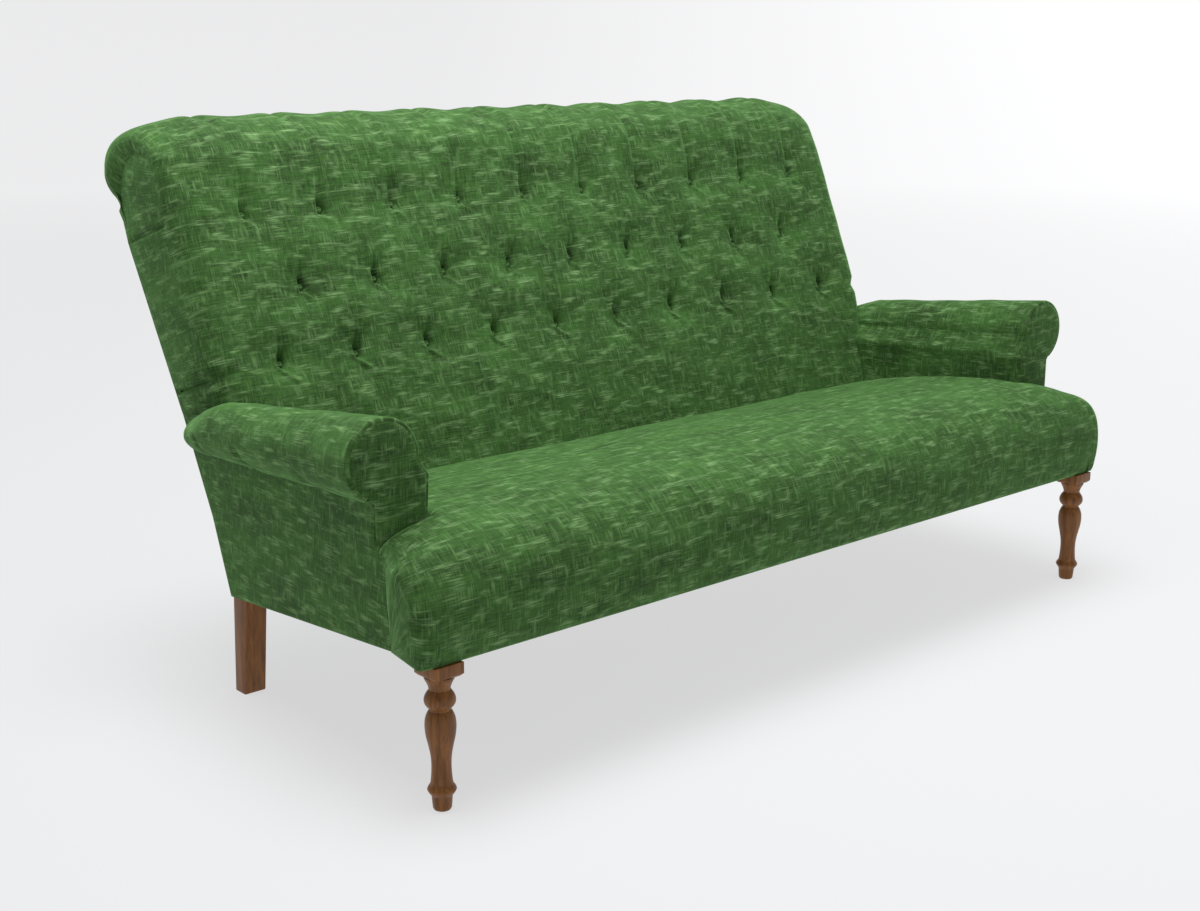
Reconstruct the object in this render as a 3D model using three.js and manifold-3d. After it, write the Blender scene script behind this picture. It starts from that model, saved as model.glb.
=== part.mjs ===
// High-back buttoned sofa: raked scroll back, scroll arms, fixed bullnose seat and turned front legs.
// Millimetres, +Z up, the front faces -Y, and the origin is on the floor under the middle of the sofa.
import * as THREE from "three";
import { mergeVertices } from "three/addons/utils/BufferGeometryUtils.js";
import Module from "manifold-3d";

const wasm = await Module();
wasm.setup();

// Overall sizes, measured from the front legs' centre line on the floor
const fit = 0.3; // clearance between touching pieces
const overrun = 20; // how far a cutting solid passes the face that it cuts
const halfWidth = 886; // half the seat's width in front of the arms
const railBottom = 240; // lower edge of the seat frame in front
const rearY = 607; // rear face of the sofa at its lower rear corner
const scrollTopZ = 1010; // top of the back
const rearDrop = 50; // how far the frame's lower edge falls to the rear
const rearZ = railBottom - rearDrop;
const rake = 22.6; // degrees, lower back
const upperRake = 30; // degrees, above the bend

// Seat sizes
const seatHigh = 193; // from the frame's lower edge to the crown
const seatTopZ = railBottom + seatHigh;
const armWide = 108; // from the seat's end to the inside face of the arm
const seatInnerHalf = halfWidth - armWide;
const noseHigh = 60; // where the front stands out most, above the frame's lower edge
const seatNoseZ = railBottom + noseHigh;
const seatBulge = 33; // how far the nose stands in front of the legs' centre line
const seatCrownY = 130; // the top starts to fall towards the rear here
const seatTuck = 55; // how far in front of the lower rear corner the seat ends
const seatRearY = rearY - seatTuck;
const seatFall = 65; // how far the top falls to its rear edge
const seatFallPower = 1.6;
const seatHemY = 22; // how far the lower front edge stands in front of the legs' centre line
const seatHemCorner = 22; // corner radius in plan at the lower edge
const seatFaceCorner = 60; // corner radius in plan at the nose
const seatShoulder = 150; // width over which the seat's ends fall
const seatStation = 92; // distance between the sections of the level part
const seatEndShares = [0.3, 0.52, 0.7, 0.83, 0.92, 0.975, 1]; // sections over the shoulder
const noseRadius = 84;
const noseEndHigh = 8; // height of the nose's curve left at the seat's ends
const seatEndDrop = noseRadius - noseEndHigh;
const skirt = 13; // stuffing in front of the front rail
const endStuffing = 30; // stuffing over the ends of the front rail
const frameHalfWidth = halfWidth - endStuffing;

// Frame sizes
const railThick = 32;
const railHigh = 70;
const railTopZ = railBottom + railHigh;
const springRoom = 8; // from the rails' top to the underside of the pad
const seatPadBottomZ = railTopZ + springRoom;
const boardThick = 25;
const postDeep = 62;
const panelThick = 6; // outside back covering on its backing
const strapThick = 2.5;
const strapWide = 60;
const strapCount = 4;
const springWire = 4;
const springWide = 46;
const springArch = 22;
const springCount = 8;
const springWaveCount = 8;
const waveStepCount = 8; // steps along the wire in each wave
const wireSideCount = 5;
const studShare = 1 / 3; // place of each stud between the middle and the post
const cornerSide = 70;
const cornerHigh = 34;
const boltRadius = 4;
const boltReach = 24;
const boltSideCount = 10;
const dustThick = 1.5;

// Arm sizes
const armFrontY = 107;
const armBehind = 57; // how far the arm runs past the lower rear corner
const armRearY = rearY + armBehind;
const rollInset = 21; // the roll's middle line lies this far inside the seat's end
const rollX = halfWidth - rollInset;
const armRise = 98; // from the seat's crown to the middle of the roll in front
const rollFrontZ = seatTopZ + armRise;
const rollFall = 39;
const rollRearZ = rollFrontZ - rollFall;
const rollFrontRadius = 68;
const rollRearRadius = 46;
const rollSeamAngle = -60; // degrees, where the roll's cover meets the side panel
const rollInnerAngle = 190; // degrees, where the roll leaves the inside face
const rollEnd = 34; // rounded rear end of the roll
const rollEndShares = [0.7, 1]; // sections along the rounded end
const rollNarrowShare = 0.28; // how much narrower the roll's rear end is
const armWaistShare = 0.45; // depth of the roll's inner crease below its middle, as a share of its radius
const facingThick = 10;
const facingEdge = 6;
const facingEaseShare = 0.33;
const armTuck = 90; // the inside arm pad starts this far above the frame's lower edge
const armBottomZ = railBottom + armTuck;
const armCoreWide = 66; // from the seat's end to the rear face of the inside arm pad
const armInner = halfWidth - armCoreWide;
const sideInset = 4; // the side panel's outer face lies this far inside the seat's end
const sideX = halfWidth - sideInset;
const sideTaper = 25; // how far the side leans in towards the rear
const sideThick = 8;
const sideFrontY = 80;
const boardInset = 12;
const tackRailHigh = 35;
const tackRailZ = railTopZ + tackRailHigh;

// Back sizes
const backInset = 26; // the back's side lies this far inside the seat's end
const backHalfWidth = halfWidth - backInset;
const backTuck = 14;
const backLowerHalf = seatInnerHalf + backTuck; // half width between the arm rolls
const notchRise = 60; // the back gets wider this far above the roll's middle line
const backNotchZ = rollRearZ + notchRise;
const bendRise = 60;
const rakeBendZ = seatTopZ + bendRise;
const backDepth = 86; // from the pad's face at its foot to the lower rear corner
const backFrontY = rearY - backDepth;
const footDrop = 57; // how far below the seat's crown the pad starts
const backFootZ = seatTopZ - footDrop;
const frontRake = 22.3; // degrees
const backEdge = 52; // rounding of the back's side edges
const backTopEdge = 42;
const backRearEdge = 12;
const backEndShares = [0.4, 0.75, 0.93, 1]; // sections over the rounded sides
const sideWall = 8;
const scrollHigh = 127;
const scrollStartZ = scrollTopZ - scrollHigh;
const scrollShoulder = 85;
const scrollRearZ = scrollTopZ - scrollShoulder;
const scrollDrop = 164;
const scrollHemZ = scrollTopZ - scrollDrop;
const scrollReach = 56; // how far the scroll stands behind the seam under it
const scrollLead = 55; // how far in front of that seam its top lies
const postHeadroom = 110;
const postTopZ = scrollTopZ - postHeadroom;
const buttonMargin = 137.3; // from the outermost buttons to the back's side
const buttonRowShares = [0.432, 0.679, 0.935]; // heights between the pad's foot and the scroll
const buttonRowCount = [10, 9, 10];
const buttonPitch = (2 * (backHalfWidth - buttonMargin)) / (buttonRowCount[0] - 1);
const buttonRowZ = buttonRowShares.map((share) => backFootZ + share * (scrollStartZ - backFootZ));
const buttonDepth = 36;
const buttonSpread = 46;
const pleatDepth = 7;
const foldDepth = 5;
const foldWidth = 22;
const pleatFade = 200; // degrees round the scroll over which the pleats die out
const footPleatShare = 0.6;
const footShares = [0.38, 0.7]; // sections between the pad's foot and the bottom row

// Leg sizes
const blockSize = 54;
const blockHigh = 19;
const blockBottom = railBottom - blockHigh;
const blockChamferShare = 0.84; // width of the block's lower face
const legInset = 36;
const frontLegX = halfWidth - legInset;
const legRadius = 24.6;
const legSideCount = 20;
const legPointsShare = 1.5; // turned sections for each point of the profile
const legProfileShares = [
  [0.53, 0], [0.59, 0.012], [0.68, 0.11], [0.9, 0.14], [0.91, 0.165], [0.72, 0.195], [0.63, 0.33],
  [0.66, 0.4], [0.86, 0.52], [0.99, 0.625], [0.9, 0.69], [0.64, 0.745], [0.82, 0.775], [1, 0.82],
  [0.86, 0.87], [0.67, 0.9], [0.76, 0.945], [0.96, 0.985], [0.96, 1],
]; // radius as a share of legRadius, height as a share of blockBottom
const rearLegInset = 67;
const rearLegX = halfWidth - rearLegInset;
const rearLegWide = 42.6;
const rearLegDeep = 33.5;
const rearLegTopDeep = 45;
const rearLegSplay = 16; // how far the foot stands behind the leg's top
const rearLegTopY = rearY - 2;
const rearLegY = rearLegTopY + rearLegSplay;
const rearBoltInset = 10;
const rearBoltY = rearY - rearBoltInset;

// Colours from the photograph
const cloth = { color: "#3f7a35", roughness: 0.9, metalness: 0 };
const clothDark = { color: "#2c2c2a", roughness: 0.95, metalness: 0 };
const stain = { color: "#7a5232", roughness: 0.45, metalness: 0 };
const timber = { color: "#c9a878", roughness: 0.7, metalness: 0 };
const webbing = { color: "#b79b6c", roughness: 0.95, metalness: 0 };
const steel = { color: "#8a8f94", roughness: 0.4, metalness: 1 };

const rad = THREE.MathUtils.degToRad;
const mix = THREE.MathUtils.lerp;
const sofa = new THREE.Group();

// Shared helpers

function add(name, geometry, finish) {
  const mesh = new THREE.Mesh(geometry, new THREE.MeshStandardMaterial(finish));
  mesh.name = name;
  sofa.add(mesh);
  return mesh;
}

function solid(geometry) {
  const bare = geometry.clone();
  bare.deleteAttribute("normal");
  bare.deleteAttribute("uv");
  const merged = mergeVertices(bare, 1e-3);
  return new wasm.Manifold(
    new wasm.Mesh({
      numProp: 3,
      vertProperties: merged.attributes.position.array,
      triVerts: new Uint32Array(merged.index.array),
    }),
  );
}

function shell(body) {
  const mesh = body.getMesh();
  const geometry = new THREE.BufferGeometry();
  geometry.setAttribute("position", new THREE.BufferAttribute(mesh.vertProperties, 3));
  geometry.setIndex(new THREE.BufferAttribute(mesh.triVerts, 1));
  geometry.computeVertexNormals();
  return geometry;
}

function cut(geometry, ...tools) {
  return shell(tools.reduce((body, tool) => body.subtract(solid(tool)), solid(geometry)));
}

function join(geometry, ...others) {
  return shell(others.reduce((body, other) => body.add(solid(other)), solid(geometry)));
}

function box(x0, x1, y0, y1, z0, z1) {
  const geometry = new THREE.BoxGeometry(x1 - x0, y1 - y0, z1 - z0);
  return geometry.translate((x0 + x1) / 2, (y0 + y1) / 2, (z0 + z1) / 2);
}

// A side outline of (y, z) points, extruded from x0 to x1.
function sidePrism(points, x0, x1) {
  const shape = new THREE.Shape(points.map(([y, z]) => new THREE.Vector2(y, z)));
  const geometry = new THREE.ExtrudeGeometry(shape, { depth: x1 - x0, bevelEnabled: false });
  geometry.applyMatrix4(new THREE.Matrix4().set(0, 0, 1, x0, 1, 0, 0, 0, 0, 1, 0, 0, 0, 0, 0, 1));
  return geometry;
}

// Joins closed rings of points with like counts into one closed skin; flat(p) lays an end ring out in 2D.
function loft(rings, flat) {
  const count = rings[0].length;
  const positions = rings.flat().flatMap((p) => [p.x, p.y, p.z]);
  const index = [];
  for (let i = 0; i + 1 < rings.length; i++)
    for (let j = 0; j < count; j++) {
      const a = i * count + j;
      const b = i * count + ((j + 1) % count);
      index.push(a, b, a + count, b, b + count, a + count);
    }
  // An end face runs the same way round as its ring where forward is true.
  const closeEnd = (start, forward) => {
    const outline = rings[start / count].map(flat);
    const way = Math.sign(THREE.ShapeUtils.area(outline));
    for (const [i, j, k] of THREE.ShapeUtils.triangulateShape(outline, [])) {
      const face = THREE.ShapeUtils.area([outline[i], outline[j], outline[k]]);
      const same = Math.sign(face) === way;
      index.push(start + i, start + (same === forward ? j : k), start + (same === forward ? k : j));
    }
  };
  closeEnd(0, false);
  closeEnd((rings.length - 1) * count, true);
  const geometry = new THREE.BufferGeometry();
  geometry.setAttribute("position", new THREE.Float32BufferAttribute(positions, 3));
  geometry.setIndex(index);
  return facingOut(geometry);
}

// Turns every triangle round if the closed skin faces inwards.
function facingOut(geometry) {
  const p = geometry.attributes.position;
  const [a, b, c] = [new THREE.Vector3(), new THREE.Vector3(), new THREE.Vector3()];
  const list = geometry.index.array;
  let volume = 0;
  for (let i = 0; i < list.length; i += 3) {
    a.fromBufferAttribute(p, list[i]);
    b.fromBufferAttribute(p, list[i + 1]);
    c.fromBufferAttribute(p, list[i + 2]);
    volume += a.dot(b.cross(c));
  }
  if (volume < 0)
    for (let i = 0; i < list.length; i += 3) [list[i + 1], list[i + 2]] = [list[i + 2], list[i + 1]];
  geometry.computeVertexNormals();
  return geometry;
}

// Both sides of the sofa: build(side) gets -1 for the left and 1 for the right.
function bothSides(build) {
  build(-1, "left");
  build(1, "right");
}

function mirrored(geometry, side) {
  if (side > 0) return geometry;
  const turned = geometry.clone().scale(-1, 1, 1);
  const flat = turned.index ? turned.toNonIndexed() : turned;
  const p = flat.attributes.position.array;
  for (let i = 0; i < p.length; i += 9)
    for (let k = 0; k < 3; k++) [p[i + 3 + k], p[i + 6 + k]] = [p[i + 6 + k], p[i + 3 + k]];
  flat.computeVertexNormals();
  return flat;
}

// Side lines of the sofa

const bendY = rearY + (rakeBendZ - rearZ) * Math.tan(rad(rake));

// Rear face at height z.
function rearLine(z) {
  if (z < rakeBendZ) return rearY + (z - rearZ) * Math.tan(rad(rake));
  return bendY + (z - rakeBendZ) * Math.tan(rad(upperRake));
}

const scrollRearY = rearLine(scrollHemZ) + scrollReach;
const scrollTopY = rearLine(scrollHemZ) - scrollLead;

// Front face of the back at height z, without its buttoning.
function frontLine(z) {
  return backFrontY + (z - backFootZ) * Math.tan(rad(frontRake));
}

// Outer face of the side at depth y.
function sideLine(y) {
  return sideX - (sideTaper * (y - sideFrontY)) / (rearY - sideFrontY);
}

// Lower edge of the side at depth y.
function underLine(y) {
  return mix(railBottom, rearZ, Math.max(0, (y - sideFrontY) / (rearY - sideFrontY)));
}

// Height of the roll's middle and its radius at depth y, and the height of its underside seam.
function roll(y) {
  const share = (y - armFrontY) / (armRearY - armFrontY);
  const radius = mix(rollFrontRadius, rollRearRadius, share);
  return { z: mix(rollFrontZ, rollRearZ, share), radius };
}

function rollUnderside(y) {
  const { z, radius } = roll(y);
  return z + radius * Math.sin(rad(rollSeamAngle)) - fit;
}

// Front face of the posts and studs of the back at height z.
function postLine(z) {
  return rearLine(z) - panelThick - fit - postDeep;
}

// Rear of the back pad, in front of the webbing.
function padBackLine(z) {
  return postLine(z) - strapThick - 2 * fit;
}

// Leg bolts stand half in the leg and half in the frame above it.

const frontBolt = [blockBottom - boltReach, railBottom + boltReach];
const rearBolt = [underLine(rearY) - boltReach, underLine(rearY) + boltReach];

function boltHole(x, y, bottom, top) {
  const hole = new THREE.CylinderGeometry(boltRadius + fit, boltRadius + fit, top - bottom, boltSideCount);
  return hole.rotateX(Math.PI / 2).translate(x, y, (top + bottom) / 2);
}

// Legs

function turnedLeg() {
  const outline = legProfileShares.map(
    ([r, z]) => new THREE.Vector2(r * legRadius, z * blockBottom),
  );
  const curve = new THREE.SplineCurve(outline).getPoints(Math.round(legPointsShare * outline.length));
  const top = new THREE.Vector2(0, blockBottom);
  const profile = [new THREE.Vector2(0, 0), ...curve, top];
  const turning = new THREE.LatheGeometry(profile, legSideCount).rotateX(Math.PI / 2);
  const half = blockSize / 2;
  const ring = (z, share) =>
    [[-1, -1], [1, -1], [1, 1], [-1, 1]].map(
      ([x, y]) => new THREE.Vector3(x * half * share, y * half * share, z),
    );
  const chamfer = half * (1 - blockChamferShare);
  const block = loft(
    [
      ring(blockBottom - fit, blockChamferShare),
      ring(blockBottom + chamfer, 1),
      ring(railBottom - fit, 1),
    ],
    (p) => new THREE.Vector2(p.x, p.y),
  );
  return cut(join(turning, block), boltHole(0, 0, frontBolt[0] - fit, railBottom + overrun));
}

function rearLeg() {
  const topZ = underLine(rearLegTopY) - fit;
  const ring = (y, z, depth) =>
    [[-1, -1], [1, -1], [1, 1], [-1, 1]].map(
      ([a, b]) => new THREE.Vector3((a * rearLegWide) / 2, y + (b * depth) / 2, z),
    );
  const slope = (underLine(rearY) - underLine(sideFrontY)) / (rearY - sideFrontY);
  const top = ring(rearLegTopY, topZ, rearLegTopDeep);
  top.forEach((p) => (p.z += (p.y - rearLegTopY) * slope));
  const leg = loft([ring(rearLegY, 0, rearLegDeep), top], (p) => new THREE.Vector2(p.x, p.y));
  return cut(leg, boltHole(0, rearBoltY, rearBolt[0] - fit, rearBolt[1]));
}

bothSides((side, name) => {
  add(`front_leg_${name}`, turnedLeg(), stain).position.x = side * frontLegX;
  add(`rear_leg_${name}`, rearLeg(), stain).position.x = side * rearLegX;
});

// Seat frame

// A board along Y: section(y) gives its x and z limits at each of the listed depths.
function boardAlongY(section, ...depths) {
  const ring = (y) => {
    const [x0, x1, z0, z1] = section(y);
    return [[x0, z0], [x1, z0], [x1, z1], [x0, z1]].map(([x, z]) => new THREE.Vector3(x, y, z));
  };
  return loft(depths.map(ring), (p) => new THREE.Vector2(p.x, p.z));
}

const frontFaceY = skirt - seatBulge;
const frontRailRear = frontFaceY + railThick;
const sideRailFrontY = frontRailRear + fit;
const sideRailRearY = postLine(rearZ) - fit;
const rearRailBottom = underLine(rearY) + dustThick + 3 * fit;

function sideRailOuter(y) {
  return Math.min(frameHalfWidth, sideLine(y) - sideThick - fit);
}

// Rear edge of the side panel's top, where the side is narrowest.
const sideRearTopZ = rollUnderside(armRearY);
const rearHalf = sideLine(rearLine(sideRearTopZ)) - sideThick - fit;
const postInnerX = rearHalf - railThick;
const betweenPosts = postInnerX - fit;

add(
  "front_seat_rail",
  cut(
    box(-frameHalfWidth, frameHalfWidth, frontFaceY + fit, frontRailRear, railBottom, railTopZ),
    boltHole(frontLegX, 0, railBottom - overrun, frontBolt[1] + fit),
    boltHole(-frontLegX, 0, railBottom - overrun, frontBolt[1] + fit),
  ),
  timber,
);
add("rear_seat_rail", rakedRail(rearRailBottom, railTopZ, railThick, betweenPosts), timber);
bothSides((side, name) => {
  const end = (y) => {
    const outer = sideRailOuter(y);
    return [outer - boardThick, outer, underLine(y) + fit, railTopZ];
  };
  const rail = boardAlongY(end, sideRailFrontY, sideFrontY, sideRailRearY);
  add(`side_seat_rail_${name}`, mirrored(rail, side), timber);
});

const middleRailHalf = boardThick / 2;
const middleRailZ = (y) => underLine(y) + dustThick + 2 * fit;
const middleRailRear = postLine(rearRailBottom) - fit;
add(
  "middle_seat_rail",
  boardAlongY(
    (y) => [-middleRailHalf, middleRailHalf, middleRailZ(y), railTopZ - railThick],
    frontRailRear + fit,
    sideFrontY,
    middleRailRear,
  ),
  timber,
);

// Corner blocks: triangular in plan, glued into the corners over the legs.
function cornerBlock(x, y, dx, dy, bottom) {
  const shape = new THREE.Shape([
    new THREE.Vector2(x, y),
    new THREE.Vector2(x + dx * cornerSide, y),
    new THREE.Vector2(x, y + dy * cornerSide),
  ]);
  const geometry = new THREE.ExtrudeGeometry(shape, { depth: cornerHigh, bevelEnabled: false });
  return geometry.translate(0, 0, bottom);
}

bothSides((side, name) => {
  const bottom = railBottom + dustThick + 2 * fit;
  const turn = cornerSide / (sideRailRearY - sideFrontY);
  const outer = mix(sideRailOuter(sideFrontY), sideRailOuter(sideRailRearY), turn);
  const frontInner = outer - boardThick - fit;
  const front = cornerBlock(frontInner, sideRailFrontY, -1, 1, bottom);
  const rearY0 = postLine(bottom) - fit;
  const rearInner = Math.min(betweenPosts, sideRailOuter(rearY0) - boardThick - fit);
  const rear = cornerBlock(rearInner, rearY0, -1, -1, bottom);
  add(`front_corner_block_${name}`, mirrored(front, side), timber);
  add(`rear_corner_block_${name}`, mirrored(rear, side), timber);
});

// Zigzag seat springs: each runs from the front rail to the rear rail in flat waves under the pad.

function zigzagSpring() {
  const startY = frontRailRear + fit + springWire / 2;
  const restZ = seatPadBottomZ - fit - springWire / 2;
  const endY = postLine(restZ - springArch) - fit - springWire;
  const wavePoints = 4;
  const steps = springWaveCount * wavePoints;
  const points = [];
  for (let i = 0; i <= steps; i++) {
    const share = i / steps;
    const x = (Math.sin((i * 2 * Math.PI) / wavePoints) * springWide) / 2;
    const lift = Math.sin(Math.PI * share);
    points.push(
      new THREE.Vector3(x, mix(startY, endY, share), mix(restZ - springArch, restZ, lift)),
    );
  }
  const corners = Array.from({ length: wireSideCount }, (_, i) =>
    new THREE.Vector2(springWire / 2, 0).rotateAround(new THREE.Vector2(), (i * 2 * Math.PI) / wireSideCount),
  );
  return new THREE.ExtrudeGeometry(new THREE.Shape(corners), {
    steps: waveStepCount * springWaveCount,
    bevelEnabled: false,
    extrudePath: new THREE.CatmullRomCurve3(points),
  });
}

const springSpan = 2 * (frameHalfWidth - boardThick - cornerSide);
for (let i = 0; i < springCount; i++) {
  const spring = add(`seat_spring_${i + 1}`, zigzagSpring(), steel);
  spring.position.x = springSpan * ((i + 0.5) / springCount - 0.5);
}

// Leg bolts: each goes up from its leg through the corner block.

bothSides((side, name) => {
  const bolt = ([bottom, top]) => {
    const shank = new THREE.CylinderGeometry(boltRadius, boltRadius, top - bottom, boltSideCount);
    return shank.rotateX(Math.PI / 2).translate(0, 0, (top + bottom) / 2);
  };
  const front = add(`front_leg_bolt_${name}`, bolt(frontBolt), steel);
  front.position.x = side * frontLegX;
  const rear = add(`rear_leg_bolt_${name}`, bolt(rearBolt), steel);
  rear.position.set(side * rearLegX, rearBoltY, 0);
});

// Back frame: raked posts with a shaped head, studs, rails and webbing straps

function postOutline() {
  const rear = (z) => [rearLine(z) - panelThick - fit, z];
  const front = (z) => [postLine(z), z];
  return [
    front(underLine(postLine(rearZ)) + 2 * fit),
    rear(underLine(rearY) + 2 * fit),
    rear(rakeBendZ),
    rear(postTopZ),
    front(postTopZ),
    front(rakeBendZ),
  ];
}

const lowRailBottom = backFootZ - railHigh / 2;
const topRailBottom = postTopZ - railHigh;

bothSides((side, name) => {
  const post = cut(
    sidePrism(postOutline(), postInnerX, rearHalf),
    boltHole(rearLegX, rearBoltY, rearBolt[0], rearBolt[1] + fit),
  );
  add(`back_post_${name}`, mirrored(post, side), timber);
});

// A rail between the posts whose front and rear follow the rake.
function rakedRail(bottom, top, thick, half) {
  const outline = [
    [postLine(bottom), bottom],
    [postLine(bottom) + thick, bottom],
    [postLine(top) + thick, top],
    [postLine(top), top],
  ];
  return sidePrism(outline, -half, half);
}

add("back_top_rail", rakedRail(topRailBottom, postTopZ, boardThick, betweenPosts), timber);
add(
  "back_lower_rail",
  rakedRail(lowRailBottom, lowRailBottom + railHigh, boardThick, betweenPosts),
  timber,
);

bothSides((side, name) => {
  const low = lowRailBottom + railHigh + fit;
  const high = topRailBottom - fit;
  const outline = [low, rakeBendZ, high].map((z) => [postLine(z), z]);
  const rear = [high, rakeBendZ, low].map((z) => [postLine(z) + boardThick, z]);
  const x = studShare * betweenPosts;
  const stud = sidePrism([...outline, ...rear], x - boardThick / 2, x + boardThick / 2);
  add(`back_stud_${name}`, mirrored(stud, side), timber);
});
add(
  "outside_back_panel",
  sidePrism(
    [
      [rearLine(rearZ) - panelThick, underLine(rearY) + 2 * fit],
      [rearLine(rearZ), underLine(rearY) + 2 * fit],
      [rearLine(rakeBendZ), rakeBendZ],
      [rearLine(scrollHemZ - fit), scrollHemZ - fit],
      [rearLine(scrollHemZ - fit) - panelThick, scrollHemZ - fit],
      [rearLine(rakeBendZ) - panelThick, rakeBendZ],
    ],
    -rearHalf,
    rearHalf,
  ),
  cloth,
);

for (let i = 0; i < strapCount; i++) {
  const low = mix(lowRailBottom, topRailBottom, (i + 0.5) / strapCount);
  const zs = [low, low + strapWide];
  const outline = [
    [postLine(zs[0]) - fit - strapThick, zs[0]],
    [postLine(zs[0]) - fit, zs[0]],
    [postLine(zs[1]) - fit, zs[1]],
    [postLine(zs[1]) - fit - strapThick, zs[1]],
  ];
  add(`back_webbing_${i + 1}`, sidePrism(outline, -betweenPosts, betweenPosts), webbing);
}

// Arm frame: a front board with a scroll head, a top rail and a tacking rail

const boardY = [armFrontY + facingThick + fit, armFrontY + facingThick + fit + boardThick];
const armCoreRise = boardThick;

function armBoard(grow, y0, y1) {
  const outer = sideLine(boardY[1]) - sideThick - fit;
  const disc = new THREE.CylinderGeometry(
    rollFrontRadius - boardInset + grow,
    rollFrontRadius - boardInset + grow,
    y1 - y0,
    legSideCount,
  ).translate(rollX, (y0 + y1) / 2, rollFrontZ);
  const upright = box(
    seatInnerHalf + boardInset - grow,
    outer + grow,
    y0,
    y1,
    railTopZ + fit - grow,
    rollFrontZ - armWaistShare * rollFrontRadius,
  );
  return join(upright, disc);
}

bothSides((side, name) => {
  add(`arm_front_board_${name}`, mirrored(armBoard(0, ...boardY), side), timber);
  const top = (y) => {
    const z = rollUnderside(y) + armCoreRise - fit;
    return [armInner + fit, sideLine(y) - sideThick - 2 * fit, z - boardThick, z];
  };
  const y0 = boardY[1] + fit;
  const y1 = postLine(sideRearTopZ) - fit;
  add(`arm_top_rail_${name}`, mirrored(boardAlongY(top, y0, y1), side), timber);
  const tack = (y) => {
    const outer = sideLine(y) - sideThick - 2 * fit;
    return [outer - boardThick, outer, tackRailZ, tackRailZ + tackRailHigh];
  };
  const y2 = postLine(tackRailZ) - fit;
  add(`arm_tacking_rail_${name}`, mirrored(boardAlongY(tack, y0, y2), side), timber);
});

// Arm pads: a roll that thins towards the rear, over a flat inside face

const arcSteps = 16; // steps round the roll

function armRing(y) {
  const { z, radius } = roll(y);
  const under = rollUnderside(y);
  const points = [
    [seatInnerHalf + fit, armBottomZ],
    [seatInnerHalf + fit, z - armWaistShare * radius],
  ];
  for (let i = 0; i <= arcSteps; i++) {
    const angle = rad(mix(rollInnerAngle, rollSeamAngle, i / arcSteps));
    points.push([rollX + radius * Math.cos(angle), z + radius * Math.sin(angle)]);
  }
  const outer = sideLine(y) - sideThick - fit;
  points.push([sideLine(y) - fit, under + fit], [outer, under], [outer, under + armCoreRise]);
  points.push([armInner, under + armCoreRise], [armInner, armBottomZ]);
  return points.map(([x, height]) => new THREE.Vector3(x, y, height));
}

function armPad() {
  const rings = [];
  const start = armFrontY + facingThick + fit;
  const steps = 8;
  for (let i = 0; i <= steps; i++) rings.push(armRing(mix(start, armRearY - rollEnd, i / steps)));
  const last = armRing(armRearY - rollEnd);
  const { z } = roll(armRearY);
  for (const share of rollEndShares) {
    const shrink = 1 - share * share * rollNarrowShare;
    rings.push(
      last.map((p, i) => {
        const arc = i > 1 && i <= arcSteps + 3;
        const x = arc ? mix(rollX, p.x, shrink) : p.x;
        const height = arc ? mix(z, p.z, shrink) : p.z;
        return new THREE.Vector3(x, mix(armRearY - rollEnd, armRearY, share), height);
      }),
    );
  }
  const pad = loft(rings, (p) => new THREE.Vector2(p.x, p.z));
  return cut(
    pad,
    armBoard(fit, boardY[0] - overrun, boardY[1] + fit),
    backProfile(frontLine, backLowerHalf + fit),
    backProfile(padBackLine, halfWidth),
  );
}

// The space behind a raked line, as wide as the given half width on both sides.
function backProfile(line, half) {
  const low = armBottomZ - overrun;
  const outline = [
    [line(low) - fit, low],
    [scrollRearY, low],
    [scrollRearY, scrollHemZ],
    [line(scrollHemZ) - fit, scrollHemZ],
    [line(rakeBendZ) - fit, rakeBendZ],
  ];
  return sidePrism(outline, -half, half);
}

bothSides((side, name) => add(`arm_pad_${name}`, mirrored(armPad(), side), cloth));

// Arm front facings: a covered board with a rounded rim, shaped like the roll's end

function facingOutline(inset) {
  const low = seatPadBottomZ;
  const right = sideLine(armFrontY + facingThick) - sideThick - fit - inset;
  const inner = seatInnerHalf + fit + inset;
  const points = [[inner, low], [inner, rollFrontZ - armWaistShare * rollFrontRadius]];
  const radius = rollFrontRadius - inset;
  for (let i = 0; i <= arcSteps; i++) {
    const angle = rad(mix(rollInnerAngle, rollSeamAngle, i / arcSteps));
    points.push([rollX + radius * Math.cos(angle), rollFrontZ + radius * Math.sin(angle)]);
  }
  points.push([right, rollUnderside(armFrontY) + fit], [right, low]);
  return points;
}

function armFacing() {
  const ring = (inset, y) => facingOutline(inset).map(([x, z]) => new THREE.Vector3(x, y, z));
  const rear = armFrontY + facingThick;
  return loft(
    [
      ring(facingEdge, armFrontY),
      ring(facingEdge * facingEaseShare, armFrontY + facingEdge / 2),
      ring(0, armFrontY + facingEdge),
      ring(0, rear),
    ],
    (p) => new THREE.Vector2(p.x, p.z),
  );
}

bothSides((side, name) => add(`arm_facing_${name}`, mirrored(armFacing(), side), cloth));

// Outside arm panels and back side borders

function leaning(geometry) {
  const slope = sideTaper / (rearY - sideFrontY);
  const shear = new THREE.Matrix4().set(
    1, -slope, 0, slope * sideFrontY,
    0, 1, 0, 0,
    0, 0, 1, 0,
    0, 0, 0, 1,
  );
  return geometry.applyMatrix4(shear);
}

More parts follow.
